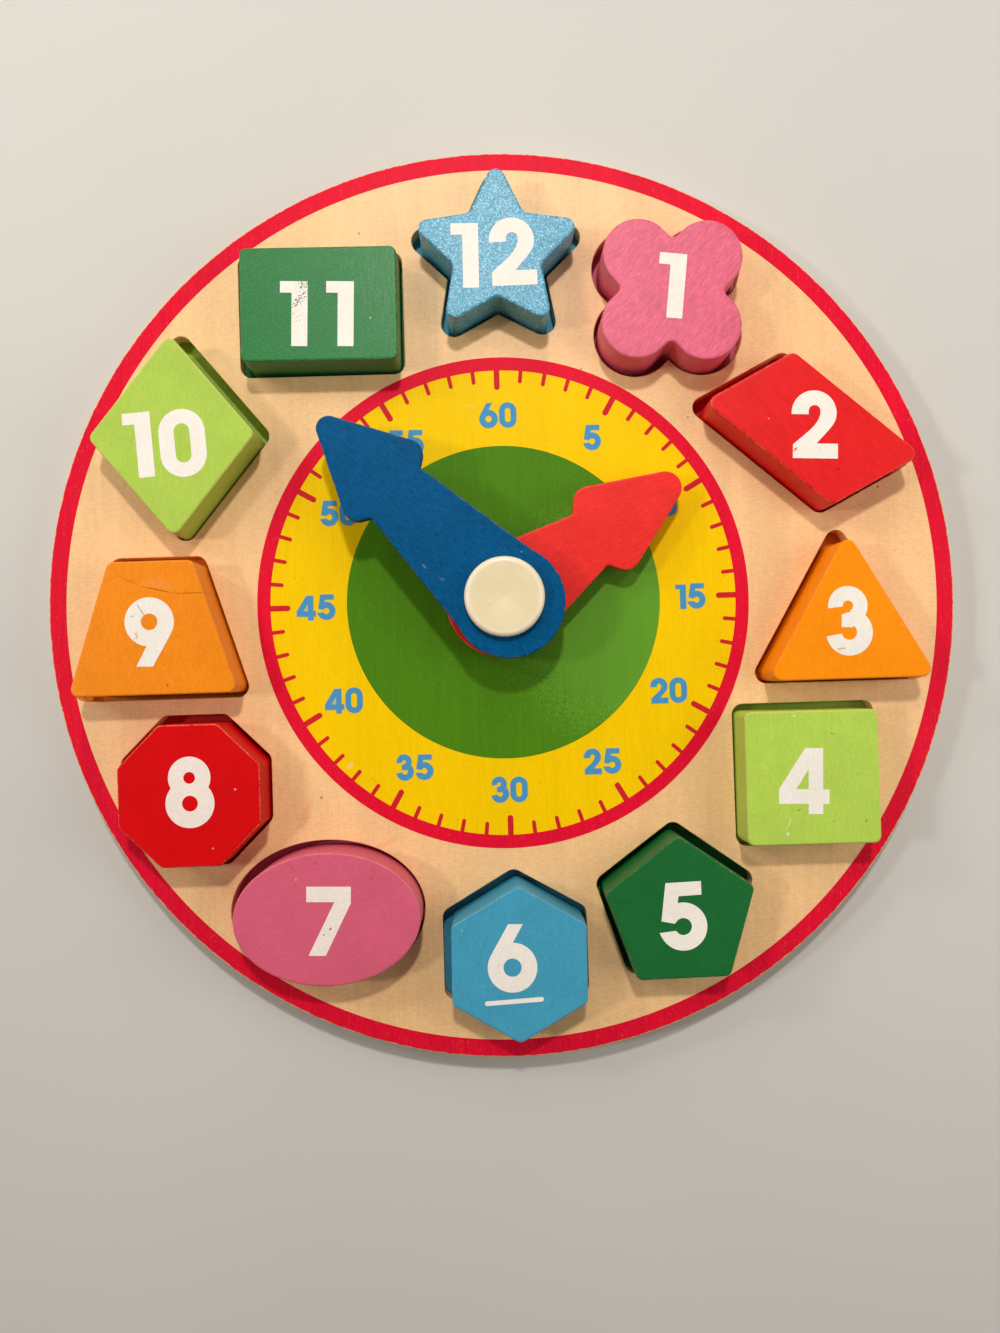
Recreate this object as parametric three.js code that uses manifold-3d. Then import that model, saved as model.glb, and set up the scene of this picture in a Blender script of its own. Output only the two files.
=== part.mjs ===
// Shape sorting clock: a round two-ply board with twelve shaped sockets, a numbered
// block in each socket, and two hands that turn on a clipped centre pivot.
// Millimetres, +Z up. The clock lies on its back, with twelve o'clock towards +Y.
import * as THREE from "three";
import { mergeVertices } from "three/addons/utils/BufferGeometryUtils.js";
import Module from "manifold-3d";

const wasm = await Module();
wasm.setup();

// Board: a backing ply that closes the sockets and a face ply that they go through
const boardDiameter = 235;
const baseThickness = 3;
const faceThickness = 5.5;
const boardEase = 0.7;

// Sockets and blocks: every block stands as high, and lies loose in its socket
const blockThickness = 16;
const blockEase = 0.5;
const socketClearance = 1.7;
const restGap = 0.4;
const socketCornerRadius = 2.8;

// The ring of sockets: the wood left outside it, inside it and, on average, between two sockets
const rimWidth = 3.625;
const dialMargin = 1.488;
const socketWall = 3.334;

// Hands: the minute hand turns above the hour hand, with a thick washer under each
const handThickness = 3.5;
const handEase = 0.5;
const dialRadius = 63.7;
const minuteInsideDial = 0.7;
const hourInsideDial = 9.7;
const washerThickness = 3.8;
const washerWidth = 4;

// Pivot: a capped stem in front, clipped into a flanged tube that comes from behind
const pivotRadius = 4.2;
const runningGap = 0.3;
const stemRadius = 2.6;
const capRadius = 9.85;
const capThickness = 2.4;
const capRimWidth = 1.7;
const capDish = 0.5;
const capRound = 0.9;
const flangeRadius = 9;
const flangeThickness = 1.5;
const flangeRecess = 0.3;
const flangeRound = 0.5;

// Fineness of the facets, and how far a cutting tool runs past what it cuts
const boardSides = 132;
const roundSides = 48;
const arcSteps = 5;
const easeSteps = 2;
const overrun = 1;
const leastHollowShare = 0.2;

// Sizes of the twelve shapes, between their flat sides or to their unrounded corners
const quatrefoil = { lobeRadius: 8.95, lobeSpacing: 17.35, hollowRadius: 1.8 };
const parallelogram = {
  longSide: 41.4,
  shortSide: 26,
  cornerRadius: 2.2,
  cornerAngle: THREE.MathUtils.degToRad(68.3),
  turnAngle: THREE.MathUtils.degToRad(-40.8),
};
const triangle = { side: 42.8, cornerRadius: 2.2 };
const square = { side: 33.4, cornerRadius: 1.8 };
const pentagon = { inradius: 15.85, cornerRadius: 1.8 };
const hexagon = { inradius: 16.85, cornerRadius: 1.8 };
const oval = { width: 46.5, height: 32.95 };
const octagon = { inradius: 17.65, cornerRadius: 1.8 };
const trapezoid = { top: 21.1, bottom: 42.2, height: 33.35, cornerRadius: 2 };
const rhombus = { width: 41.6, height: 51.1, cornerRadius: 2 };
const rectangle = { width: 39.2, height: 28.6, cornerRadius: 1.8 };
const star = {
  tipCount: 5,
  tipRadius: 23.5,
  notchRadius: 11.6,
  cornerRadius: 2.3,
  socketCornerRadius: 3.4,
};

// Sizes of the two hands: the head is an arrow with rounded barbs, and the shaft flares to a
// round hub. The hub's middle is set back from the pivot, and it swells past the shaft's flanks.
const minuteHand = {
  reach: dialRadius - minuteInsideDial,
  hubSet: 1.6,
  hubSwell: 0.3,
  hubBlend: 12,
  headLength: 26,
  neckHalfWidth: 8.65,
  tipRadius: 3.1,
  barbRadius: 3.6,
  neckRadius: 1,
  tipHalfAngle: THREE.MathUtils.degToRad(27.4),
  barbAngle: THREE.MathUtils.degToRad(58.5),
  flareAngle: THREE.MathUtils.degToRad(7.5),
};
const hourHand = {
  reach: dialRadius - hourInsideDial,
  hubSet: 0.2,
  hubSwell: 1.1,
  hubBlend: 8,
  headLength: 27.4,
  neckHalfWidth: 7.75,
  tipRadius: 4.2,
  barbRadius: 3.9,
  neckRadius: 1,
  tipHalfAngle: THREE.MathUtils.degToRad(23.5),
  barbAngle: THREE.MathUtils.degToRad(53),
  flareAngle: THREE.MathUtils.degToRad(12.6),
};
const minuteBearing = -44.4;
const hourBearing = 57;

// Heights of the stack, from the surface that the clock lies on
const faceTop = baseThickness + faceThickness;
const hourBottom = faceTop + washerThickness;
const upperWasherBottom = hourBottom + handThickness;
const minuteBottom = upperWasherBottom + washerThickness;
const minuteTop = minuteBottom + handThickness;
const capBottom = minuteTop + runningGap;

// Sizes that follow from the ones above
const boardRadius = boardDiameter / 2;
const play = socketClearance - restGap;
const boreRadius = pivotRadius + runningGap;
const tubeBore = stemRadius + runningGap;
const flangeTop = flangeRecess + flangeThickness;

const point = (x, y) => new THREE.Vector2(x, y);
const polar = (radius, angle) => point(radius * Math.cos(angle), radius * Math.sin(angle));
const series = (count, make) => Array.from({ length: count }, (_, i) => make(i));

// Points on an arc about a centre, both ends included
function arc(centre, radius, from, to, steps = arcSteps) {
  return series(steps + 1, (i) => polar(radius, from + ((to - from) * i) / steps).add(centre));
}

// The arc that rounds the corner between two neighbours, whichever way the corner turns
function cornerArc(before, corner, after, radius) {
  const back = before.clone().sub(corner).normalize();
  const ahead = after.clone().sub(corner).normalize();
  const half = Math.acos(back.dot(ahead)) / 2;
  const inward = back.clone().add(ahead).normalize();
  const centre = corner.clone().addScaledVector(inward, radius / Math.sin(half));
  const start = corner.clone().addScaledVector(back, radius / Math.tan(half)).sub(centre).angle();
  const end = corner.clone().addScaledVector(ahead, radius / Math.tan(half)).sub(centre).angle();
  const fullTurn = 2 * Math.PI;
  const sweep = THREE.MathUtils.euclideanModulo(end - start + Math.PI, fullTurn) - Math.PI;
  return arc(centre, radius, start, start + sweep);
}

// The radius of a hollow that shrinks as its outline grows, but never vanishes
const hollowAfter = (radius, grow) => Math.max(radius - grow, radius * leastHollowShare);

// A counterclockwise polygon with rounded corners. Moved outward by grow it is a socket's,
// with the corner radius that the sockets are cut with.
function roundedPolygon(corners, shape, grow) {
  const { cornerRadius, socketCornerRadius: ownRadius = socketCornerRadius } = shape;
  const convexRounding = grow > 0 ? ownRadius : cornerRadius;
  const hollowRounding = hollowAfter(cornerRadius, grow);
  const count = corners.length;
  const sides = corners.map((corner, i) => {
    const along = corners[(i + 1) % count].clone().sub(corner).normalize();
    const outward = point(along.y, -along.x);
    return { outward, offset: corner.dot(outward) + grow };
  });
  const moved = sides.map((side, i) => {
    const last = sides[(i + count - 1) % count];
    const turn = last.outward.cross(side.outward);
    const x = (last.offset * side.outward.y - side.offset * last.outward.y) / turn;
    const y = (side.offset * last.outward.x - last.offset * side.outward.x) / turn;
    return { at: point(x, y), rounding: turn > 0 ? convexRounding : hollowRounding };
  });
  return moved.flatMap(({ at, rounding }, i) => {
    const before = moved[(i + count - 1) % count].at;
    const after = moved[(i + 1) % count].at;
    return cornerArc(before, at, after, rounding);
  });
}

// Corners of a regular polygon by its inscribed circle, turned from one corner straight up
function regularCorners(count, inradius, turn = 0) {
  const circumradius = inradius / Math.cos(Math.PI / count);
  return series(count, (i) => polar(circumradius, Math.PI / 2 + turn + (2 * Math.PI * i) / count));
}

// Corners of a shape with level top and bottom sides, centred at half its height
function levelCorners(top, bottom, height) {
  return [
    point(-bottom / 2, -height / 2),
    point(bottom / 2, -height / 2),
    point(top / 2, height / 2),
    point(-top / 2, height / 2),
  ];
}

// Corners of a parallelogram whose long side is turned from +X
function parallelogramCorners(longSide, shortSide, angle, turn) {
  const long = polar(longSide / 2, turn);
  const short = polar(shortSide / 2, turn + angle);
  return [
    short.clone().add(long).negate(),
    long.clone().sub(short),
    long.clone().add(short),
    short.clone().sub(long),
  ];
}

// Corners of a rhombus by its two diagonals
function rhombusCorners(width, height) {
  return [point(0, -height / 2), point(width / 2, 0), point(0, height / 2), point(-width / 2, 0)];
}

// Corners of a star, tips and notches in turn
function starCorners(tipCount, tipRadius, notchRadius) {
  return series(2 * tipCount, (i) => {
    return polar(i % 2 ? notchRadius : tipRadius, Math.PI / 2 + (Math.PI * i) / tipCount);
  });
}

// Four round lobes, each joined to the next by a hollow arc that touches both
function quatrefoilOutline(grow) {
  const half = quatrefoil.lobeSpacing / 2;
  const lobeRadius = quatrefoil.lobeRadius + grow;
  const hollow = hollowAfter(quatrefoil.hollowRadius, grow);
  const reach = half + Math.sqrt((lobeRadius + hollow) ** 2 - half ** 2);
  const lean = Math.atan2(half, reach - half);
  const lobe = arc(point(half, half), lobeRadius, lean - Math.PI / 2, Math.PI - lean, 2 * arcSteps);
  const notch = arc(point(0, reach), hollow, -lean, lean - Math.PI).slice(1, -1);
  const quarter = [...lobe, ...notch];
  return series(4, (i) => {
    return quarter.map((spot) => spot.clone().rotateAround(point(0, 0), (i * Math.PI) / 2));
  }).flat();
}

function ovalOutline(grow) {
  return series(roundSides, (i) => {
    const direction = polar(1, (2 * Math.PI * i) / roundSides);
    return direction.multiply(point(oval.width / 2 + grow, oval.height / 2 + grow));
  });
}

// The twelve outlines as drawn, each moved outward by grow
const outlines = {
  quatrefoil: quatrefoilOutline,
  parallelogram: (grow) => {
    const { longSide, shortSide, cornerAngle, turnAngle } = parallelogram;
    const corners = parallelogramCorners(longSide, shortSide, cornerAngle, turnAngle);
    return roundedPolygon(corners, parallelogram, grow);
  },
  triangle: (grow) => {
    const height = triangle.side * Math.sin(Math.PI / 3);
    const corners = levelCorners(0, triangle.side, height).slice(0, 3);
    return roundedPolygon(corners, triangle, grow);
  },
  square: (grow) => {
    const corners = levelCorners(square.side, square.side, square.side);
    return roundedPolygon(corners, square, grow);
  },
  pentagon: (grow) => {
    return roundedPolygon(regularCorners(5, pentagon.inradius), pentagon, grow);
  },
  hexagon: (grow) => {
    return roundedPolygon(regularCorners(6, hexagon.inradius), hexagon, grow);
  },
  oval: ovalOutline,
  octagon: (grow) => {
    const corners = regularCorners(8, octagon.inradius, Math.PI / 8);
    return roundedPolygon(corners, octagon, grow);
  },
  trapezoid: (grow) => {
    const corners = levelCorners(trapezoid.top, trapezoid.bottom, trapezoid.height);
    return roundedPolygon(corners, trapezoid, grow);
  },
  rhombus: (grow) => {
    const corners = rhombusCorners(rhombus.width, rhombus.height);
    return roundedPolygon(corners, rhombus, grow);
  },
  rectangle: (grow) => {
    const corners = levelCorners(rectangle.width, rectangle.width, rectangle.height);
    return roundedPolygon(corners, rectangle, grow);
  },
  star: (grow) => {
    const corners = starCorners(star.tipCount, star.tipRadius, star.notchRadius);
    return roundedPolygon(corners, star, grow);
  },
};

const pink = 0xd9659c;
const red = 0xcf2229;
const orange = 0xf08a1d;
const lightGreen = 0x93c94b;
const darkGreen = 0x14693f;
const skyBlue = 0x4a9fd0;

// Each hour's shape. The bearing is clockwise from twelve o'clock, and outset moves a socket
// out from the common circle. The rest shares place the block in the play of its socket.
const hours = [
  { shape: "quatrefoil", bearing: 30.3, outset: 0.7, restShares: [-0.3, -0.45, -0.8], colour: pink },
  { shape: "parallelogram", bearing: 62.1, outset: 0.8, restShares: [-0.15, -1.1, 0], colour: red },
  { shape: "triangle", bearing: 92, outset: -1.4, restShares: [-0.5, -0.9, 0], colour: orange },
  { shape: "square", bearing: 121.4, outset: 1.4, restShares: [-0.95, -0.1, -0.1], colour: lightGreen },
  { shape: "pentagon", bearing: 152.2, outset: 1.4, restShares: [-0.3, -0.25, 0.2], colour: darkGreen },
  { shape: "hexagon", bearing: 179.8, outset: 1.8, restShares: [0.5, -0.45, -0.2], colour: skyBlue },
  { shape: "oval", bearing: 211.3, outset: 3.1, restShares: [0.9, 0.1, 0], colour: pink },
  { shape: "octagon", bearing: 240.2, outset: 4.3, restShares: [0.8, -0.3, 0], colour: red },
  { shape: "trapezoid", bearing: 267.3, outset: 0.5, restShares: [0.95, -0.35, 0], colour: orange },
  { shape: "rhombus", bearing: 298.8, outset: 4.7, restShares: [0.1, -1.4, 0], colour: lightGreen },
  { shape: "rectangle", bearing: 329.4, outset: 0, restShares: [0.75, -0.8, -0.15], colour: darkGreen },
  { shape: "star", bearing: 0.6, outset: 0.2, restShares: [0, -0.85, -0.2], colour: skyBlue },
];

// The direction of a bearing
const towards = (bearing) => polar(1, Math.PI / 2 - THREE.MathUtils.degToRad(bearing));

// How far an hour's outline reaches from its centre, in a direction turned from outward
function reachOf({ shape, bearing }, turn) {
  const direction = towards(bearing).rotateAround(point(0, 0), turn);
  return Math.max(...outlines[shape](0).map((spot) => spot.dot(direction)));
}

// The sockets fill the ring between the rim and the dial across, or once round with their
// walls, whichever takes less. The fit is the share of their drawn size that this allows.
const outerEdge = boardRadius - rimWidth - socketClearance;
const innerEdge = dialRadius + dialMargin + socketClearance;
const outwardReach = Math.max(...hours.map((hour) => reachOf(hour, 0) + hour.outset));
const inwardReach = Math.max(...hours.map((hour) => reachOf(hour, Math.PI) - hour.outset));
const widthOf = (hour) => reachOf(hour, Math.PI / 2) + reachOf(hour, -Math.PI / 2);
const widths = hours.reduce((sum, hour) => sum + widthOf(hour), 0);
const walls = hours.length * (socketWall + 2 * socketClearance);
const acrossShare = (outerEdge - innerEdge) / (outwardReach + inwardReach);
const aroundShare = (2 * Math.PI * outerEdge - walls) / (widths + 2 * Math.PI * outwardReach);
const fitShare = Math.min(acrossShare, aroundShare);
const socketCircle = outerEdge - outwardReach * fitShare;

// An hour's outline as it fits the ring, moved outward by grow
function outlineOf(hour, grow) {
  return outlines[hour.shape](grow / fitShare).map((spot) => spot.multiplyScalar(fitShare));
}

function socketCentre({ bearing, outset }) {
  return towards(bearing).multiplyScalar(socketCircle + outset * fitShare);
}

// A geometry with only shared positions, so that it closes on itself
function closed(geometry) {
  geometry.deleteAttribute("normal");
  geometry.deleteAttribute("uv");
  return mergeVertices(geometry);
}

// A straight-walled solid over an outline
function prism(outline, bottom, height) {
  const options = { depth: height, bevelEnabled: false };
  const geometry = new THREE.ExtrudeGeometry(new THREE.Shape(outline), options);
  return closed(geometry.translate(0, 0, bottom));
}

// A plate over an outline with rounded arrises above and below, standing on z = 0
function easedPlate(outline, holes, thickness, ease) {
  const shape = new THREE.Shape(outline);
  shape.holes = holes.map((hole) => new THREE.Path(hole));
  const geometry = new THREE.ExtrudeGeometry(shape, {
    depth: thickness - 2 * ease,
    bevelThickness: ease,
    bevelSize: ease,
    bevelOffset: -ease,
    bevelSegments: easeSteps,
  });
  return closed(geometry.translate(0, 0, ease));
}

// A turned solid, from a profile of radii and heights that runs upward on its outer side
function turned(profile, sides) {
  const geometry = new THREE.LatheGeometry([...profile, profile[0]], sides);
  return closed(geometry.rotateX(Math.PI / 2));
}

// Booleans on closed geometries
function solidOf(geometry) {
  const vertProperties = new Float32Array(geometry.attributes.position.array);
  const triVerts = new Uint32Array(geometry.index.array);
  return new wasm.Manifold(new wasm.Mesh({ numProp: 3, vertProperties, triVerts }));
}

function geometryOf(solid) {
  const { vertProperties, triVerts } = solid.getMesh();
  const geometry = new THREE.BufferGeometry();
  geometry.setAttribute("position", new THREE.Float32BufferAttribute(vertProperties, 3));
  geometry.setIndex(Array.from(triVerts));
  return geometry;
}

function cut(geometry, tools) {
  const whole = solidOf(geometry);
  return geometryOf(tools.reduce((rest, tool) => rest.subtract(solidOf(tool)), whole));
}

const clock = new THREE.Group();

// Adds one sub-part, with its own material, to a group
function add(parent, name, geometry, colour, roughness) {
  const material = new THREE.MeshStandardMaterial({
    color: colour,
    roughness,
    metalness: 0,
    flatShading: true,
  });
  const mesh = new THREE.Mesh(geometry, material);
  mesh.name = name;
  parent.add(mesh);
  return mesh;
}

// The backing ply, bored for the pivot tube and counterbored for its flange
function baseBoard() {
  const lowerEdge = point(boardRadius - boardEase, boardEase);
  const recessRadius = flangeRadius + runningGap;
  return turned([
    point(recessRadius, 0),
    ...arc(lowerEdge, boardEase, -Math.PI / 2, 0, easeSteps),
    point(boardRadius, baseThickness),
    point(boreRadius, baseThickness),
    point(boreRadius, flangeTop),
    point(recessRadius, flangeTop),
  ], boardSides);
}

// The face ply, with the pivot bore and a socket of each shape cut right through
function faceBoard() {
  const upperEdge = point(boardRadius - boardEase, faceTop - boardEase);
  const disc = turned([
    point(boreRadius, baseThickness),
    point(boardRadius, baseThickness),
    ...arc(upperEdge, boardEase, 0, Math.PI / 2, easeSteps),
    point(boreRadius, faceTop),
  ], boardSides);
  const sockets = hours.map((hour) => {
    const outline = outlineOf(hour, socketClearance);
    const centre = socketCentre(hour);
    const tool = prism(outline, baseThickness - overrun, faceThickness + 2 * overrun);
    return tool.translate(centre.x, centre.y, 0);
  });
  return cut(disc, sockets);
}

// An arrow-headed hand along +X about its pivot hole. The upper half of the outline runs
// from the tip to the back of the hub, and the lower half mirrors it.
function handGeometry(hand) {
  const { neckHalfWidth, hubBlend, tipHalfAngle, barbAngle, flareAngle } = hand;
  const apex = point(hand.reach + hand.tipRadius * (1 / Math.sin(tipHalfAngle) - 1), 0);
  const neck = point(hand.reach - hand.headLength, neckHalfWidth);
  const slope = Math.tan(tipHalfAngle);
  const headDrop = slope * (apex.x - neck.x) - neck.y;
  const barbReach = headDrop / (Math.sin(barbAngle) + slope * Math.cos(barbAngle));
  const barb = neck.clone().add(polar(barbReach, barbAngle));
  const hub = point(-hand.hubSet, 0);
  const normal = polar(1, Math.PI / 2 - flareAngle);
  const flank = neck.clone().sub(hub).dot(normal);
  const hubRadius = flank + hand.hubSwell;
  const run = Math.sqrt((hubRadius + hubBlend) ** 2 - (flank + hubBlend) ** 2);
  const fromHub = normal.clone().multiplyScalar(flank + hubBlend).add(polar(run, -flareAngle));
  const blendCentre = fromHub.clone().add(hub);
  const blendEnd = fromHub.angle();
  const upper = [
    ...arc(point(apex.x - hand.tipRadius / Math.sin(tipHalfAngle), 0), hand.tipRadius,
      0, Math.PI / 2 - tipHalfAngle),
    ...cornerArc(apex, barb, neck, hand.barbRadius),
    ...cornerArc(barb, neck, blendCentre.clone().addScaledVector(normal, -hubBlend), hand.neckRadius),
    ...arc(blendCentre, hubBlend, -Math.PI / 2 - flareAngle, blendEnd - Math.PI),
    ...arc(hub, hubRadius, blendEnd, Math.PI, 2 * arcSteps).slice(1),
  ];
  const lower = upper.slice(1, -1).reverse().map((spot) => point(spot.x, -spot.y));
  const hole = series(roundSides, (i) => polar(boreRadius, (2 * Math.PI * i) / roundSides));
  const plate = easedPlate([...upper, ...lower], [], handThickness, handEase);
  return cut(plate, [prism(hole, -overrun, handThickness + 2 * overrun)]);
}

function addHand(name, hand, bearing, bottom, colour) {
  const mesh = add(clock, name, handGeometry(hand), colour, 0.45);
  mesh.position.z = bottom;
  mesh.rotation.z = Math.PI / 2 - THREE.MathUtils.degToRad(bearing);
}

// A thick ring that keeps the hand above it off the face below
function washer(bottom) {
  return turned([
    point(boreRadius, bottom),
    point(boreRadius + washerWidth, bottom),
    point(boreRadius + washerWidth, bottom + washerThickness),
    point(boreRadius, bottom + washerThickness),
  ], roundSides);
}

// The front button: a cap with a rounded rim round a shallow dish, on a stem
function centreButton() {
  const capTop = capBottom + capThickness;
  const rimInner = capRadius - capRimWidth;
  const edge = point(capRadius - capRound, capTop - capRound);
  const dish = series(arcSteps, (i) => {
    const share = (arcSteps - 1 - i) / arcSteps;
    return point(rimInner * share, capTop - capDish * (1 - share ** 2));
  });
  return turned([
    point(0, flangeTop + runningGap),
    point(stemRadius, flangeTop + runningGap),
    point(stemRadius, capBottom),
    point(capRadius, capBottom),
    ...arc(edge, capRound, 0, Math.PI / 2),
    point(rimInner, capTop),
    ...dish,
  ], roundSides);
}

// The rear socket: a flange with rounded edges in the back, and the tube that the hands turn on
function rearSocket() {
  const edge = point(flangeRadius - flangeRound, flangeRecess + flangeRound);
  return turned([
    point(0, flangeRecess),
    ...arc(edge, flangeRound, -Math.PI / 2, 0, easeSteps),
    point(flangeRadius, flangeTop),
    point(pivotRadius, flangeTop),
    point(pivotRadius, minuteTop),
    point(tubeBore, minuteTop),
    point(tubeBore, flangeTop),
    point(0, flangeTop),
  ], roundSides);
}

function addBlocks() {
  hours.forEach((hour, i) => {
    const [rightShare, upShare, turnShare] = hour.restShares;
    const outline = outlineOf(hour, 0);
    const farthest = Math.max(...outline.map((spot) => spot.length()));
    const geometry = easedPlate(outline, [], blockThickness, blockEase);
    const mesh = add(clock, `${hour.shape}_block_${i + 1}`, geometry, hour.colour, 0.5);
    const centre = socketCentre(hour);
    mesh.position.set(centre.x + rightShare * play, centre.y + upShare * play, baseThickness);
    mesh.rotation.z = (turnShare * play) / farthest;
  });
}

add(clock, "base_board", baseBoard(), 0xd9b98a, 0.7);
add(clock, "face_board", faceBoard(), 0xe2c59c, 0.6);
addBlocks();
add(clock, "lower_washer", washer(faceTop), 0xe9e4d2, 0.5);
addHand("hour_hand", hourHand, hourBearing, hourBottom, red);
add(clock, "upper_washer", washer(upperWasherBottom), 0xe9e4d2, 0.5);
addHand("minute_hand", minuteHand, minuteBearing, minuteBottom, 0x0f5a94);
add(clock, "centre_button", centreButton(), 0xe9dcb8, 0.35);
add(clock, "rear_socket", rearSocket(), 0xe9dcb8, 0.4);

export default clock;
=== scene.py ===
"""Shape sorting clock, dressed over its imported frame.

Outlines are worked out in millimetres with numpy and become metres when a mesh is made. The
clock lies on its back, with twelve o'clock towards +Y and its face towards +Z.
"""
import math

import bpy
import numpy as np
from mathutils import Matrix, Vector
from mathutils.geometry import delaunay_2d_cdt, tessellate_polygon


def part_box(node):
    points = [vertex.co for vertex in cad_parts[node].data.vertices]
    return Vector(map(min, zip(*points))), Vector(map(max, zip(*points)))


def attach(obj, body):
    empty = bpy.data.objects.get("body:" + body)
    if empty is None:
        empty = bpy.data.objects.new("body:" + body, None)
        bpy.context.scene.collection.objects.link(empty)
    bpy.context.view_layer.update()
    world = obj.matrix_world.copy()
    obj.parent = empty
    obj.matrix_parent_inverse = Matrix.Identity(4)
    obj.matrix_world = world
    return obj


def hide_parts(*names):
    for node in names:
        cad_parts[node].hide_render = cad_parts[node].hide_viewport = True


bl_info = {
    "name": "Shape sorting clock",
    "version": (1, 0, 0),
    "blender": (4, 5, 0),
    "location": "3D View > Sidebar > Clock",
    "description": "A wooden clock with twelve numbered blocks in shaped sockets and two turning hands",
    "category": "Add Mesh",
}

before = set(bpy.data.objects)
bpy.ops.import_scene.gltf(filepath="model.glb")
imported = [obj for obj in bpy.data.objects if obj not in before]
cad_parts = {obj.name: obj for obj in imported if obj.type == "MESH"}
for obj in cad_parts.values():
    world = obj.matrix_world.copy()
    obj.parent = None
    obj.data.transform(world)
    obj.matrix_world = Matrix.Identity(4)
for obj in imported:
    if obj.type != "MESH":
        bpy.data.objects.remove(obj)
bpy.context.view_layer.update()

MM = 0.001


def box_of(node):
    """A node's lowest and highest corner in millimetres."""
    low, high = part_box(node)
    return np.array(low) / MM, np.array(high) / MM


FACE_LOW, FACE_HIGH = box_of("face_board")
BOARD_RADIUS = (FACE_HIGH[0] - FACE_LOW[0]) / 2
FACE_TOP = FACE_HIGH[2]
BASE_TOP = box_of("base_board")[1][2]

# Sizes in millimetres: the circle of sockets, the room round a block in its socket, how far a
# block may shift, the pivot's hole, and the recess in the back for the rear socket
SOCKET_CIRCLE = 88.5
SOCKET_CLEARANCE = 1.7
PLAY = 1.3
BORE_RADIUS = 4.5
RECESS_RADIUS = 9.3
RECESS_DEPTH = 1.8

# In millimetres: how far print and paint start below what carries them, the short step beside
# a sharp corner that keeps flats flat when they are shaded, and how much the outline of a block
# may differ from its node
SUNK = 0.02
HEM = 0.05
MISMATCH = 0.25

# Each hour: shape, bearing clockwise from twelve, how far its socket lies outside the common
# circle, how far the block rests turned, as a share of its play, and its paint.
HOURS = [
    ("quatrefoil", 30.3, 0.7, -0.8, "pink"),
    ("parallelogram", 62.1, 0.8, 0.0, "red"),
    ("triangle", 92.0, -1.4, 0.0, "orange"),
    ("square", 121.4, 1.4, -0.1, "light_green"),
    ("pentagon", 152.2, 1.4, 0.2, "dark_green"),
    ("hexagon", 179.8, 1.8, -0.2, "sky_blue"),
    ("oval", 211.3, 3.1, 0.0, "pink"),
    ("octagon", 240.2, 4.3, 0.0, "red"),
    ("trapezoid", 267.3, 0.5, 0.0, "orange"),
    ("rhombus", 298.8, 4.7, 0.0, "light_green"),
    ("rectangle", 329.4, 0.0, -0.15, "dark_green"),
    ("star", 0.6, 0.2, -0.2, "sky_blue"),
]


# Outlines. Each is an array of points, counterclockwise, with the outward normal at each, so
# that a point moved along its normal draws the parallel outline. A rounded corner has so many
# points, and a short step beside it, in millimetres.
CORNER_STEPS = 9
SIDE_START = 0.3


def directions(angles):
    """Unit vectors at angles from +X."""
    return np.stack([np.cos(angles), np.sin(angles)], -1)


def rotated(points, angle):
    """Points of the plane turned about the origin, counterclockwise."""
    turn = np.array([directions(angle), directions(angle + np.pi / 2)])
    return points @ turn


def rounded(corners, radius, hollow, grow):
    """A polygon with every side moved out and every corner rounded.

    The two sides at a corner, moved inward by its radius, cross at the arc's centre, and the
    normal sweeps from the one side's to the other's. A short step on either side of each arc
    keeps the flat sides flat when they are shaded.
    """
    corners = np.asarray(corners, float)
    along = np.roll(corners, -1, 0) - corners
    along /= np.linalg.norm(along, axis=1, keepdims=True)
    normal = np.stack([along[:, 1], -along[:, 0]], 1)
    before = np.roll(normal, 1, 0)
    cross = before[:, 0] * normal[:, 1] - before[:, 1] * normal[:, 0]
    swing = np.arctan2(cross, (before * normal).sum(1))
    signed = np.where(swing > 0, radius, -hollow)
    reach = (corners * normal).sum(1) + grow - signed
    reach_before = (corners * before).sum(1) + grow - signed
    centre = np.stack([
        reach_before * normal[:, 1] - reach * before[:, 1],
        reach * before[:, 0] - reach_before * normal[:, 0],
    ], 1) / cross[:, None]
    start = np.arctan2(before[:, 1], before[:, 0])
    rays = directions(start[:, None] + swing[:, None] * np.linspace(0, 1, CORNER_STEPS))
    arcs = centre[:, None] + signed[:, None, None] * rays
    lead = arcs[:, :1] - SIDE_START * np.roll(along, 1, 0)[:, None]
    tail = arcs[:, -1:] + SIDE_START * along[:, None]
    points = np.concatenate([lead, arcs, tail], 1)
    normals = np.concatenate([rays[:, :1], rays, rays[:, -1:]], 1)
    return points.reshape(-1, 2), normals.reshape(-1, 2)


def regular(count, inradius, turn=0.0):
    """Corners of a regular polygon by its inscribed circle, from one straight up."""
    angles = np.pi / 2 + turn + 2 * np.pi * np.arange(count) / count
    return inradius / math.cos(math.pi / count) * directions(angles)


def level(top, bottom, height):
    """Corners of a shape with level top and bottom sides."""
    lower = [(-bottom / 2, -height / 2), (bottom / 2, -height / 2)]
    return [*lower, (top / 2, height / 2), (-top / 2, height / 2)]


def parallelogram_corners(long_side, short_side, angle, turn):
    """Corners of a parallelogram as sums of half its two sides."""
    long = directions(math.radians(turn)) * long_side / 2
    short = directions(math.radians(turn + angle)) * short_side / 2
    return [-long - short, long - short, long + short, short - long]


def star_corners(tip, notch):
    """Corners of a five-pointed star, tips and notches in turn."""
    steps = np.arange(10)
    return np.where(steps % 2, notch, tip)[:, None] * directions(np.pi / 2 + np.pi * steps / 5)


def tightened(hollow, grow):
    """A hollow corner's radius once the outline has grown: less by as much, down to a fifth."""
    return max(hollow - grow, 0.2 * hollow)


def circle(radius, count=360):
    """A circle and its rays."""
    rays = directions(2 * np.pi * np.arange(count) / count)
    return radius * rays, rays


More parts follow.
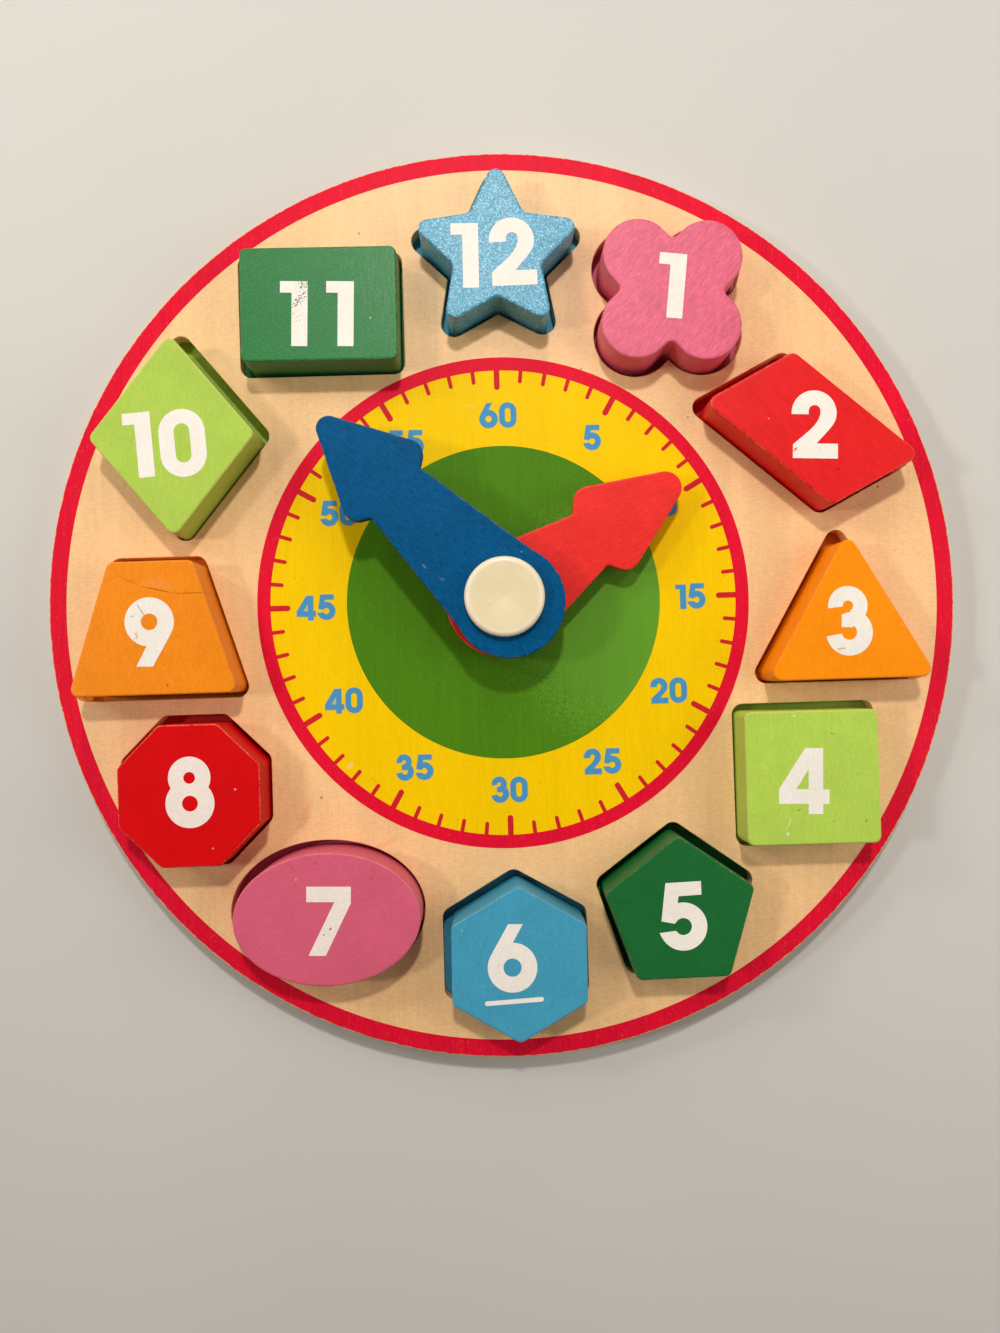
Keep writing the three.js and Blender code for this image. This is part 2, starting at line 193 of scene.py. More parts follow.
def quatrefoil(lobe, spacing, hollow, grow):
    """Four lobes joined by hollows: an arc about each lobe's centre, then one about the point
    on the axis that lies a lobe's and a hollow's radius from both lobes, turned four times."""
    half = spacing / 2
    lobe += grow
    small = tightened(hollow, grow)
    reach = half + math.sqrt((lobe + small) ** 2 - half ** 2)
    lean = math.atan2(half, reach - half)
    round_rays = directions(np.linspace(lean - np.pi / 2, np.pi - lean, 40))
    notch_rays = directions(np.linspace(-lean, lean - np.pi, 12)[1:-1])
    points = np.concatenate([half + lobe * round_rays, (0, reach) + small * notch_rays])
    normals = np.concatenate([round_rays, -notch_rays])
    turns = np.arange(4) * np.pi / 2
    return (np.concatenate([rotated(points, t) for t in turns]),
            np.concatenate([rotated(normals, t) for t in turns]))


def ellipse(width, height, grow):
    """An ellipse with both half axes grown, and its normals from its gradient."""
    _, rays = circle(1, 144)
    halves = np.array([width, height]) / 2 + grow
    normals = rays / halves
    return rays * halves, normals / np.linalg.norm(normals, axis=1, keepdims=True)


# Each polygon: its corners, the radius that rounds them, and the same radius for its socket
POLYGONS = {
    "parallelogram": (
        parallelogram_corners(long_side=41.4, short_side=26, angle=68.3, turn=-40.8), 2.2, 2.8),
    "triangle": (level(top=0, bottom=42.8, height=42.8 * math.sin(math.pi / 3))[:3], 2.2, 2.8),
    "square": (level(top=33.4, bottom=33.4, height=33.4), 1.8, 2.8),
    "pentagon": (regular(count=5, inradius=15.85), 1.8, 2.8),
    "hexagon": (regular(count=6, inradius=16.85), 1.8, 2.8),
    "octagon": (regular(count=8, inradius=17.65, turn=math.pi / 8), 1.8, 2.8),
    "trapezoid": (level(top=21.1, bottom=42.2, height=33.35), 2.0, 2.8),
    "rhombus": ([(0, -25.55), (20.8, 0), (0, 25.55), (-20.8, 0)], 2.0, 2.8),
    "rectangle": (level(top=39.2, bottom=39.2, height=28.6), 1.8, 2.8),
    "star": (star_corners(tip=23.5, notch=11.6), 2.3, 3.4),
}


def outline(shape, grow=0.0):
    """A block's outline, or with grow its socket's."""
    if shape == "quatrefoil":
        return quatrefoil(lobe=8.95, spacing=17.35, hollow=1.8, grow=grow)
    if shape == "oval":
        return ellipse(width=46.5, height=32.95, grow=grow)
    corners, radius, socket_radius = POLYGONS[shape]
    return rounded(corners, socket_radius if grow > 0 else radius, tightened(radius, grow), grow)


def moved(shape_outline, place, angle=0.0):
    """An outline turned and then set at a place."""
    points, normals = shape_outline
    return rotated(points, angle) + place, rotated(normals, angle)


def towards(bearing):
    """The direction of a bearing clockwise from twelve, in degrees."""
    return directions(math.radians(90 - bearing))


def block_node(number):
    """The name of a block's node, and of its body."""
    return f"{HOURS[number - 1][0]}_block_{number}"


def block_outline(number):
    """A block's outline where it rests, centred in the box of its node. Its farthest point is
    turned by a share of the play."""
    shape, _, _, turn_share, _ = HOURS[number - 1]
    shaped = outline(shape)
    turn = turn_share * PLAY / np.linalg.norm(shaped[0], axis=1).max()
    points, normals = moved(shaped, (0, 0), turn)
    low, high = box_of(block_node(number))
    spread = points.max(0) - points.min(0) - (high - low)[:2]
    if np.abs(spread).max() > MISMATCH:
        raise ValueError(f"{shape}: the outline differs from its node by {spread} mm")
    return points + (low + high)[:2] / 2 - (points.max(0) + points.min(0)) / 2, normals


def socket_outline(number):
    """The outline of an hour's socket in the board."""
    shape, bearing, outset, _, _ = HOURS[number - 1]
    return moved(outline(shape, SOCKET_CLEARANCE), towards(bearing) * (SOCKET_CIRCLE + outset))


def arc(centre, radius, start, end, side=1, count=12):
    """Points and normals along an arc. A hollow arc has side -1, and its normals point in."""
    rays = directions(np.linspace(start, end, count))
    return np.asarray(centre) + radius * rays, side * rays


def corner_arc(before, corner, after, radius, side):
    """The arc that rounds one corner, from its two neighbours: its centre lies on the
    bisector, and it starts and ends square to the two sides."""
    before, corner, after = (np.asarray(p, float) for p in (before, corner, after))
    back = (before - corner) / np.linalg.norm(before - corner)
    ahead = (after - corner) / np.linalg.norm(after - corner)
    half = math.acos(back @ ahead) / 2
    centre = corner + (back + ahead) / np.linalg.norm(back + ahead) * radius / math.sin(half)
    first, last = (corner + leg * radius / math.tan(half) - centre for leg in (back, ahead))
    start, end = math.atan2(first[1], first[0]), math.atan2(last[1], last[0])
    sweep = (end - start + math.pi) % (2 * math.pi) - math.pi
    return arc(centre, radius, start, start + sweep, side)


def hand_outline(reach, hub_set, hub_swell, blend, head, neck_half, tip, barb, neck, tip_half,
                 barb_angle, flare):
    """An arrow-headed hand along +X: tip, barb, neck, a hollow blend into the hub and the hub,
    as five arcs of the upper half, with the lower half as their mirror image. The hub's middle
    is set back from the pivot, and its radius is the flank's distance from it plus a swell."""
    tip_half, barb_angle, flare = (math.radians(a) for a in (tip_half, barb_angle, flare))
    neck_reach = reach - head
    apex = np.array([reach + tip * (1 / math.sin(tip_half) - 1), 0])
    neck_point = np.array([neck_reach, neck_half])
    slope = math.tan(tip_half)
    drop = slope * (apex[0] - neck_reach) - neck_half
    barb_reach = drop / (math.sin(barb_angle) + slope * math.cos(barb_angle))
    barb_point = neck_point + barb_reach * directions(barb_angle)
    normal = directions(math.pi / 2 - flare)
    hub_centre = np.array([-hub_set, 0])
    flank = (neck_point - hub_centre) @ normal
    hub = flank + hub_swell
    run = math.sqrt((hub + blend) ** 2 - (flank + blend) ** 2)
    from_hub = (flank + blend) * normal + run * directions(-flare)
    blend_centre = hub_centre + from_hub
    blend_end = math.atan2(from_hub[1], from_hub[0])
    arcs = [
        arc((apex[0] - tip / math.sin(tip_half), 0), tip, 0, math.pi / 2 - tip_half),
        corner_arc(apex, barb_point, neck_point, barb, 1),
        corner_arc(barb_point, neck_point, blend_centre - blend * normal, neck, -1),
        arc(blend_centre, blend, -math.pi / 2 - flare, blend_end - math.pi, -1),
        arc(hub_centre, hub, blend_end, math.pi, 1, 40),
    ]
    points, normals = (np.concatenate(part) for part in zip(*arcs))
    flip = np.array([1, -1])
    return (np.concatenate([points, points[-2:0:-1] * flip]),
            np.concatenate([normals, normals[-2:0:-1] * flip]))


# Surfaces. A surface is its points in millimetres, its faces, and its edge value per point:
# 1 on a rounded arris, where paint wears and a highlight is painted, and 0 on open wood or paint.
def eased(low, high, ease, steps=6, hem=0.25):
    """The profile of a plate's edge, from its top cap to its bottom cap: rows of offset from
    the outline, height and edge value. Quarter circles of radius ease join caps and wall, and
    a hem of flat cap beside each keeps the caps flat when they are shaded. The edge value falls
    to a trace at 0.2 mm below the arris and to nothing at 1.6 mm."""
    angles = np.linspace(0, np.pi / 2, steps + 1)
    inward, drop = ease * (np.sin(angles) - 1), ease * (1 - np.cos(angles))
    value = np.sin(2 * angles) * 0.5 + 0.5
    fall = np.array([0.2, 1.6])
    offsets = np.concatenate([[-ease - hem], inward, [0, 0]])
    heights = np.concatenate([[0], drop, ease + fall])
    edges = np.concatenate([[0], value, [0.15, 0]])
    upper = np.stack([offsets, high - heights, edges], 1)
    lower = np.stack([offsets, low + heights, edges], 1)[::-1]
    return np.concatenate([upper, lower])


def arris(radius, height, ease, start, end, steps, edge=0.0):
    """Rows of a profile along an arc about a point of it, each with the same edge value."""
    return [(radius + ease * math.cos(angle), height + ease * math.sin(angle), edge)
            for angle in np.linspace(start, end, steps)]


def crisp(radius, height):
    """Rows of a sharp upper corner, with a hem on its wall and one on its top."""
    return [(radius, height - HEM, 0), (radius, height, 0), (radius - HEM, height, 0)]


def areas(corners):
    """Twice the area of each triangle from its three corners, below zero if it runs clockwise."""
    to_second, to_third = corners[:, 1] - corners[:, 0], corners[:, 2] - corners[:, 0]
    return to_second[:, 0] * to_third[:, 1] - to_second[:, 1] * to_third[:, 0]


def plate(outer, holes, profile, hole_profile=None):
    """A plate whose profile is carried round its outline, and inward round each hole.

    A point is the outline's point plus its normal times the profile's offset, at the
    profile's height. The flat caps are cut into triangles between the first and last rings.
    """
    rings = [(outer, profile, 1)] + [(hole, hole_profile, -1) for hole in holes]
    points, edges, quads, first, last, start = [], [], [], [], [], 0
    for (line, normals), rows, side in rings:
        offset, height, edge = rows.T
        flat = line + side * offset[:, None, None] * normals
        tall = np.broadcast_to(height[:, None, None], flat.shape[:2] + (1,))
        ids = start + np.arange(flat.shape[0] * flat.shape[1]).reshape(flat.shape[:2])
        after = np.roll(ids, -1, 1)
        faces = np.stack([ids[:-1], ids[1:], after[1:], after[:-1]], -1).reshape(-1, 4)
        quads.append(faces[:, ::side])
        points.append(np.concatenate([flat, tall], -1).reshape(-1, 3))
        edges.append(np.repeat(edge, flat.shape[1]))
        first.append(ids[0])
        last.append(ids[-1])
        start += ids.size
    points = np.concatenate(points)
    caps = [cap(points, loops, up) for loops, up in ((first, 1), (last, -1))]
    faces = [*np.concatenate(quads).tolist(), *np.concatenate(caps).tolist()]
    return points, faces, np.concatenate(edges)


def cap(points, loops, up):
    """Triangles of the flat area inside the first loop and outside the others, facing up or
    down as the sign of their area says."""
    order = np.concatenate(loops)
    flat = points * (1, 1, 0)
    triangles = order[np.array(tessellate_polygon([flat[loop].tolist() for loop in loops]))]
    triangles = triangles[np.abs(areas(points[triangles])) > 1e-9]
    area = areas(points[triangles])
    return np.where((area * up < 0)[:, None], triangles[:, ::-1], triangles)


def turned(profile, sides=192, closed_ring=False):
    """A profile of radius, height and edge value spun about the Z axis: radius times the ray
    of each angle. A row on the axis is one point, and a closed ring joins its last row to its
    first. The profile runs upward on its outer side."""
    radius, height, edge = np.asarray(profile, float).T
    flat = radius[:, None, None] * circle(1, sides)[1]
    tall = np.broadcast_to(height[:, None, None], flat.shape[:2] + (1,))
    points = np.concatenate([flat, tall], -1).reshape(-1, 3)
    ids = np.arange(len(points)).reshape(len(radius), sides)
    ids = np.where(radius[:, None] == 0, ids[:, :1], ids)
    after = np.roll(ids, -1, 1)
    pairs = [(ids[:-1], after[:-1], after[1:], ids[1:])]
    if closed_ring:
        pairs.append((ids[-1], after[-1], after[0], ids[0]))
    faces = np.concatenate([np.stack(pair, -1).reshape(-1, 4) for pair in pairs])
    kept, slim = np.unique(faces, return_inverse=True)
    faces = slim.reshape(-1, 4)
    flat_start, flat_end = faces[:, 0] == faces[:, 1], faces[:, 2] == faces[:, 3]
    whole = faces[~flat_start & ~flat_end]
    fans = np.concatenate([faces[flat_start][:, [0, 2, 3]], faces[flat_end][:, [0, 1, 2]]])
    return points[kept], [*whole.tolist(), *fans.tolist()], np.repeat(edge, sides)[kept]


def ink(solids, holes, low, high):
    """A thin printed layer: the union of closed flat shapes less the holes, between two heights.
    A side of a triangle that no other triangle shares is the layer's border, and carries its
    wall. A shape whose sides' cross products sum below zero runs clockwise, and is reversed."""
    polygons = [*solids, *holes]
    turns = [np.sum(p[:, 0] * np.roll(p[:, 1], -1) - p[:, 1] * np.roll(p[:, 0], -1)) for p in polygons]
    polygons = [p[::-1] if turn < 0 else p for p, turn in zip(polygons, turns)]
    points = np.concatenate(polygons)
    ends = np.cumsum([len(polygon) for polygon in polygons])
    loops = [list(range(end - len(polygon), end)) for polygon, end in zip(polygons, ends)]
    flat, _, triangles, _, _, covered = delaunay_2d_cdt(points.tolist(), [], loops, 1, 1e-4)
    inked = [len(by) > 0 and max(by) < len(solids) for by in covered]
    flat, triangles = np.array(flat), np.array(triangles)[inked]
    triangles = np.where((areas(flat[triangles]) < 0)[:, None], triangles[:, ::-1], triangles)
    count = len(flat)
    sides = np.concatenate([triangles[:, [0, 1]], triangles[:, [1, 2]], triangles[:, [2, 0]]])
    border = sides[~np.isin(sides[:, 0] * count + sides[:, 1], sides[:, 1] * count + sides[:, 0])]
    walls = np.stack([border[:, 0], border[:, 0] + count, border[:, 1] + count, border[:, 1]], 1)
    solid = np.concatenate([np.c_[flat, np.full(count, high)], np.c_[flat, np.full(count, low)]])
    faces = [*triangles.tolist(), *(triangles[:, ::-1] + count).tolist(), *walls.tolist()]
    return solid, faces, np.zeros(2 * count)


def film(inner, outer, low, high):
    """A flat printed ring, or a disc where the inner radius is zero."""
    rows = [(inner, low, 0), (outer, low, 0), (outer, high, 0), (inner, high, 0)]
    return turned(rows, 360, inner > 0)


# Numerals, in millimetres at the height that the blocks carry, with the foot of each at y = 0
DIGIT_HEIGHT = 16.8


def sector(centre, outer, inner, start, end):
    """Part of a ring: its outer arc out, and its inner arc back. Angles are in degrees."""
    rays = directions(np.radians(np.linspace(start, end, 2 + int(abs(end - start) / 5))))
    return np.concatenate([centre + outer * rays, (centre + inner * rays)[::-1]])


def bent(first, second, third, fourth, count=14):
    """A cubic curve from its four handles, weighted by powers of t and 1 - t."""
    t = np.linspace(0, 1, count)[:, None]
    handles = np.array([first, second, third, fourth], float)
    weights = np.concatenate([(1 - t) ** 3, 3 * t * (1 - t) ** 2, 3 * t ** 2 * (1 - t), t ** 3], 1)
    return weights @ handles


def numeral_two():
    """Bowl, sweep and foot of the 2 as one closed line."""
    bowl = np.array([5.65, 11.45])
    outer = bowl + 5.65 * directions(np.radians(np.linspace(184, -6, 40)))
    inner = np.array([5.78, 11.9]) + 1.5 * directions(np.radians(np.linspace(0, 180, 20)))
    return np.concatenate([
        outer,
        bent(outer[-1], (11.1, 8.5), (8.7, 6.6), (6.3, 3.75)),
        [(11.7, 3.75), (11.7, 0), (0.4, 0)],
        bent((0.4, 3.4), (3.4, 6.3), (7.2, 8.4), (7.28, 11.85)),
        inner[1:],
        [(4.28, 11.05)],
    ])


def disc(x, y, radius):
    """A disc as one closed line."""
    return np.array([x, y]) + circle(radius, 48)[0]


def lozenge(radius, centre_height):
    """A tall shape with round ends, centred on the 0: an arc over and the same arc under."""
    arcs = [directions(np.linspace(0, np.pi, 30)), directions(np.linspace(np.pi, 2 * np.pi, 30))]
    heights = (centre_height, 17 - centre_height)
    return np.concatenate([(5.75, height) + radius * rays for rays, height in zip(arcs, heights)])


def numerals():
    """Every digit as the closed shapes whose union it is, and its counters."""
    three_top, three_foot = np.array([5.45, 12.45]), np.array([5.85, 5.85])
    six_stroke = np.array([(5.05, 16.85), (8.7, 16.85), (5.85, 11.6), (3.2, 9.0), (0.77, 9.13)])
    nine_stroke = np.array([(3.0, 0), (7.1, 0), (11.6, 8.4), (8.9, 7.9), (5.6, 5.3)])
    return {
        "0": ([lozenge(5.75, 11.25)], [lozenge(1.94, 11.46)]),
        "1": ([np.array([(0, 13.4), (2.9, 13.4), (2.9, 0), (6.9, 0), (6.9, 16.3), (0, 16.3)])], []),
        "2": ([numeral_two()], []),
        "3": ([
            sector(three_top, 4.94, 1.3, 188, -64),
            sector(three_foot, 5.85, 1.9, -169, 76),
            np.array([(3.9, 7.1), (6.6, 7.1), (8.4, 8.4), (7.2, 10.9), (5.6, 10.9), (3.9, 10.2)]),
        ], []),
        "4": ([
            np.array([(7.4, 0), (11.05, 0), (11.05, 16.4), (7.4, 16.4)]),
            np.array([(0, 2.52), (12.6, 2.52), (12.6, 6.15), (0, 6.15)]),
            np.array([(0, 6.1), (4.29, 6.1), (7.45, 11.1), (7.45, 16.4), (6.55, 16.4)]),
        ], []),
        "5": ([
            sector(np.array([5.65, 5.95]), 5.95, 2.1, -154, 147),
            np.array([(-0.35, 4.75), (-0.1, 4.05), (0.45, 3.0), (3.7, 4.8), (3.6, 5.0)]),
            np.array([(0.3, 7.6), (3.5, 6.8), (3.8, 7.0), (5.4, 11.8), (4.5, 11.35), (5.0, 13.5),
                      (10.7, 13.5), (10.8, 16.85), (1.95, 16.95)]),
        ], []),
        "6": ([disc(6.15, 6.15, 6.15), six_stroke], [disc(6.15, 6.15, 2.25)]),
        "7": ([
            np.array([(0, 13.2), (6.95, 13.2), (0.65, 0), (4.9, 0), (11, 12.9), (11, 17), (0, 17)]),
        ], []),
        "8": ([disc(6.2, 6.0, 6.05), disc(6.0, 12.35, 5.25)],
              [disc(6.2, 6.0, 1.95), disc(6.0, 12.35, 1.45)]),
        "9": ([disc(6.1, 11.1, 6.1), nine_stroke], [disc(6.1, 11.1, 2.05)]),
    }


DIGITS = numerals()

# Where each numeral of a block stands: digit, place of its foot from the block's middle, turn
BLOCK_NUMERALS = {
    1: [("1", (-4.72, -6.88), -6.7)],
    2: [("2", (-5.80, -7.41), -2.5)],
    3: [("3", (-6.56, -11.39), -2.1)],
    4: [("4", (-8.87, -8.81), -2.0)],
    5: [("5", (-5.03, -10.71), 2.2)],
    6: [("6", (-8.11, -6.59), -1.7)],
    7: [("7", (-5.30, -8.71), -1.9)],
    8: [("8", (-6.12, -7.75), -1.5)],
    9: [("9", (-6.93, -9.42), -1.8)],
    10: [("1", (-11.06, -10.61), 3.9), ("0", (-2.36, -10.84), 3.9)],
    11: [("1", (-9.95, -10.46), -2.0), ("1", (1.56, -10.78), -2.0)],
    12: [("1", (-11.73, -11.18), -0.7), ("2", (-1.86, -11.0), 0.9)],
}

# The line under the 6: its two ends from the block's middle, and half its width
UNDERLINE = ((-8.32, -9.28), (5.15, -8.65), 0.56)
DIAL_NUMERALS = ["60", *(str(minute) for minute in range(5, 60, 5))]


def written(text, height, place, gap=1.1):
    """Digits side by side, centred on a place, at a height given in millimetres: their solid
    shapes and their counters."""
    solids, holes, start = [], [], 0.0
    for digit in text:
        shapes, counters = DIGITS[digit]
        across = np.concatenate(shapes)[:, 0]
        left, right = across.min(), across.max()
        solids += [shape + (start - left, 0) for shape in shapes]
        holes += [counter + (start - left, 0) for counter in counters]
        start += right - left + gap
    every = np.concatenate(solids)
    middle = (every.max(0) + every.min(0)) / 2
    scale = height / DIGIT_HEIGHT
    return ([(shape - middle) * scale + place for shape in solids],
            [(hole - middle) * scale + place for hole in holes])


def shrunk(polygon, by):
    """A round hole drawn in by a distance, towards the middle of its points."""
    middle = polygon.mean(0)
    return middle + (polygon - middle) * (1 - by / np.linalg.norm(polygon - middle, axis=1).mean())


def thickened(polygons, by):
    """Polygons with a narrow band added along every side, as wide as by on either side."""
    bands = []
    for polygon in polygons:
        ahead = np.roll(polygon, -1, 0)
        along = ahead - polygon
        along = along / np.maximum(np.linalg.norm(along, axis=1, keepdims=True), 1e-9) * by
        across = np.stack([-along[:, 1], along[:, 0]], 1)
        corners = np.stack([polygon - along - across, ahead + along - across,
                            ahead + along + across, polygon - along + across], 1)
        bands += list(corners)
    return polygons + bands


def tick(bearing, outer, length, width):
    """A minute mark that runs inward from the red ring to a round end."""
    end = directions(np.linspace(np.pi / 2, 3 * np.pi / 2, 9)) * width / 2 + (outer - length + width / 2, 0)
    shape = np.concatenate([[(outer, -width / 2), (outer, width / 2)], end])
    return rotated(shape, math.radians(90 - bearing))


# Pieces
def new_object(name, surface, material, smooth=True):
    """Puts a surface into a mesh, in metres, and its object into the scene."""
    points, faces, edges = surface
    mesh = bpy.data.meshes.new(name)
    mesh.from_pydata((points * MM).tolist(), [], faces)
    mesh.polygons.foreach_set("use_smooth", np.full(len(mesh.polygons), smooth))
    mesh.attributes.new("edge", "FLOAT", "POINT").data.foreach_set("value", edges.astype(np.float32))
    mesh.materials.append(material)
    mesh.update()
    made = bpy.data.objects.new(name, mesh)
    bpy.context.scene.collection.objects.link(made)
    return made


def make_piece(name, surface, material, body, replaces=None, smooth=True):
    """Makes a piece that rides on its body, and may stand for a node, which is then hidden."""
    piece = new_object(name, surface, material, smooth)
    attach(piece, body)
    if replaces:
        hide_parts(replaces)


def lay_on_board(name, surface, material):
    """Makes a layer of print or paint on the board."""
    make_piece(name, surface, material, "board", smooth=False)


# Node helpers
FLOAT, VECTOR = "NodeSocketFloat", "NodeSocketVector"


def fill(tree, node, inputs):
    """Gives a node's inputs their values, or links them to other nodes' outputs."""
    for key, value in inputs.items():
        if isinstance(value, bpy.types.NodeSocket):
            tree.links.new(value, node.inputs[key])
        else:
            node.inputs[key].default_value = value
    return node


def add(tree, kind, inputs=None, **settings):
    """A node with its settings and its inputs."""
    made = tree.nodes.new(kind)
    for key, value in settings.items():
        setattr(made, key, value)
    return fill(tree, made, inputs or {})


def math_node(tree, operation, first, second, third=0.0):
    """The output of one sum."""
    return add(tree, "ShaderNodeMath", {0: first, 1: second, 2: third}, operation=operation).outputs[0]


def times(tree, first, second, plus=None):
    """A product, with a third value added where one is given."""
    if plus is None:
        return math_node(tree, "MULTIPLY", first, second)
    return math_node(tree, "MULTIPLY_ADD", first, second, plus)


def vector_math(tree, operation, inputs, output="Vector"):
    """The output of one sum of vectors."""
    return add(tree, "ShaderNodeVectorMath", dict(enumerate(inputs)), operation=operation).outputs[output]


def between(tree, value, low, high, to_low=0.0, to_high=1.0):
    """A value carried smoothly from one range to another."""
    ranges = {"Value": value, "From Min": low, "From Max": high, "To Min": to_low, "To Max": to_high}
    return add(tree, "ShaderNodeMapRange", ranges, interpolation_type="SMOOTHSTEP").outputs["Result"]


def blended(tree, share, first, second, how="MIX"):
    """Two colours mixed by a share."""
    inputs = {0: share, 6: first, 7: second}
    return add(tree, "ShaderNodeMix", inputs, data_type="RGBA", blend_type=how).outputs[2]


def laid_over(tree, base, tint, mask, strength):
    """A tint over a colour wherever a mask shows, at a strength."""
    return blended(tree, times(tree, mask, strength), base, tint)


def noise(tree, vector, detail, roughness=0.5, scale=1.0, distortion=0.0):
    """Soft noise with cells about as large as one unit of its vector, divided by its scale."""
    inputs = {"Vector": vector, "Scale": scale, "Detail": detail, "Roughness": roughness,
              "Distortion": distortion}
    return add(tree, "ShaderNodeTexNoise", inputs).outputs["Fac"]


def stretched(tree, vector, across, along=None):
    """A vector in metres counted in cells of a width and a length in millimetres, or in square
    cells where no length is given."""
    wide = math_node(tree, "DIVIDE", 1 / MM, across)
    long = math_node(tree, "DIVIDE", 1 / MM, across if along is None else along)
    scale = add(tree, "ShaderNodeCombineXYZ", {"X": wide, "Y": long, "Z": wide}).outputs[0]
    return vector_math(tree, "MULTIPLY", (vector, scale))


def mapped(tree, place, angle):
    """Object coordinates turned about Z, so that the grain's Y runs along the angle."""
    turn = (0, 0, math.pi / 2 - angle)
    return add(tree, "ShaderNodeMapping", {"Vector": place, "Rotation": turn}).outputs[0]


def from_axis(tree, place):
    """The distance from the clock's axis, in metres."""
    return vector_math(tree, "LENGTH", [vector_math(tree, "MULTIPLY", (place, (1, 1, 0)))], "Value")


# Shared effects, each a node group that is built the first time that it is used
def new_group(name, inputs, outputs):
    """An empty node group with named sockets: the group, its inputs and its outputs."""
    tree = bpy.data.node_groups.new(name, "ShaderNodeTree")
    for label, kind, default in inputs:
        socket = tree.interface.new_socket(name=label, in_out="INPUT", socket_type=kind)
        if default is not None:
            socket.default_value = default
    for label in outputs:
        tree.interface.new_socket(name=label, in_out="OUTPUT", socket_type=FLOAT)
    return tree, tree.nodes.new("NodeGroupInput").outputs, tree.nodes.new("NodeGroupOutput")


def grain_group():
    """Wood grain along Y: fine fibres, broad figure and short dark pores."""
    tree, given, out = new_group("Wood grain", [
        ("Vector", VECTOR, None), ("Fibre Width", FLOAT, 0.35), ("Fibre Length", FLOAT, 22.0),
        ("Figure Width", FLOAT, 9.0), ("Figure Length", FLOAT, 110.0),
    ], ["Fibres", "Figure", "Pores"])
    vector, width, length = given["Vector"], given["Fibre Width"], given["Fibre Length"]
    broad = stretched(tree, vector, given["Figure Width"], given["Figure Length"])
    short = stretched(tree, vector, times(tree, width, 0.55), times(tree, length, 0.09))
    fill(tree, out, {
        "Fibres": noise(tree, stretched(tree, vector, width, length), 4.0, 0.62),
        "Figure": noise(tree, broad, 3.0, distortion=0.7),
        "Pores": between(tree, noise(tree, short, 1.0), 0.66, 0.76)})
    return tree


def wear_group():
    """Patches along an arris, for paint worn through and for a painted highlight: the edge
    value lifted and broken up by noise.
    """
    tree, given, out = new_group("Edge wear", [
        ("Vector", VECTOR, None), ("Edge", FLOAT, 0.0), ("Amount", FLOAT, 0.5), ("Patch Size", FLOAT, 2.5),
    ], ["Mask"])
    patches = noise(tree, stretched(tree, given["Vector"], given["Patch Size"]), 5.0, 0.72)
    rub_and_sheen = times(tree, given["Edge"], times(tree, given["Amount"], 0.6, patches))
    fill(tree, out, {"Mask": between(tree, rub_and_sheen, 0.5, 0.78)})
    return tree


def specks_group():
    """Scattered specks: small discs round the middles of a share of random cells."""
    tree, given, out = new_group("Specks", [
        ("Vector", VECTOR, None), ("Spacing", FLOAT, 3.0), ("Size", FLOAT, 0.12), ("Share", FLOAT, 0.3),
    ], ["Mask"])
    vector = stretched(tree, given["Vector"], given["Spacing"])
    cells = add(tree, "ShaderNodeTexVoronoi", {"Vector": vector, "Scale": 1.0}).outputs
    chosen = add(tree, "ShaderNodeSeparateColor", {"Color": cells["Color"]}).outputs
    picked = math_node(tree, "LESS_THAN", chosen[0], given["Share"])
    reach = times(tree, given["Size"], chosen[1])
    inside = between(tree, math_node(tree, "SUBTRACT", cells["Distance"], reach), 0.0, 0.04, 1.0, 0.0)
    fill(tree, out, {"Mask": times(tree, picked, inside)})
    return tree


def patch_group():
    """A soft oval patch at one place, broken up by noise: a scratch, a rub or a painted sheen."""
    tree, given, out = new_group("Local patch", [
        ("Vector", VECTOR, None), ("Centre", VECTOR, (0, 0, 0)), ("Angle", FLOAT, 0.0),
        ("Length", FLOAT, 4.0), ("Width", FLOAT, 1.0), ("Break Up", FLOAT, 0.5), ("Grit", FLOAT, 0.4),
        ("Gaps", FLOAT, 0.0),
    ], ["Mask"])
    from_centre = vector_math(tree, "SUBTRACT", (given["Vector"], given["Centre"]))
    back = add(tree, "ShaderNodeVectorRotate", {"Vector": from_centre, "Angle": given["Angle"]},
               rotation_type="Z_AXIS").outputs[0]
    flat = vector_math(tree, "MULTIPLY", (back, (1, 1, 0)))
    cells = stretched(tree, flat, given["Length"], given["Width"])
    distance = math_node(tree, "ADD", vector_math(tree, "LENGTH", [cells], "Value"), given["Gaps"])
    grit = noise(tree, stretched(tree, given["Vector"], given["Grit"]), 4.0, 0.7)
    strength = times(tree, given["Break Up"], 4.0)
    broken = times(tree, math_node(tree, "SUBTRACT", grit, 0.5), strength, distance)
    fill(tree, out, {"Mask": between(tree, broken, 0.35, 0.6, 1.0, 0.0)})
    return tree


GROUP_MAKERS = {"Wood grain": grain_group, "Edge wear": wear_group, "Specks": specks_group,
                "Local patch": patch_group}


def use(tree, name, inputs):
    """Places a shared effect, and gives its outputs."""
    group = bpy.data.node_groups.get(name) or GROUP_MAKERS[name]()
    return add(tree, "ShaderNodeGroup", inputs, node_tree=group).outputs


def specks(tree, vector, spacing, size, share):
    """The mask of scattered specks."""
    inputs = {"Vector": vector, "Spacing": spacing, "Size": size, "Share": share}
    return use(tree, "Specks", inputs)["Mask"]


def worn(tree, vector, edge, amount, patch):
    """The mask of worn patches where an edge value is high."""
    inputs = {"Vector": vector, "Edge": edge, "Amount": amount, "Patch Size": patch}
    return use(tree, "Edge wear", inputs)["Mask"]


# Materials
def scaled(colour, by):
    """A colour made lighter or darker."""
    return tuple(min(1.0, channel * by) for channel in colour[:3]) + (1.0,)


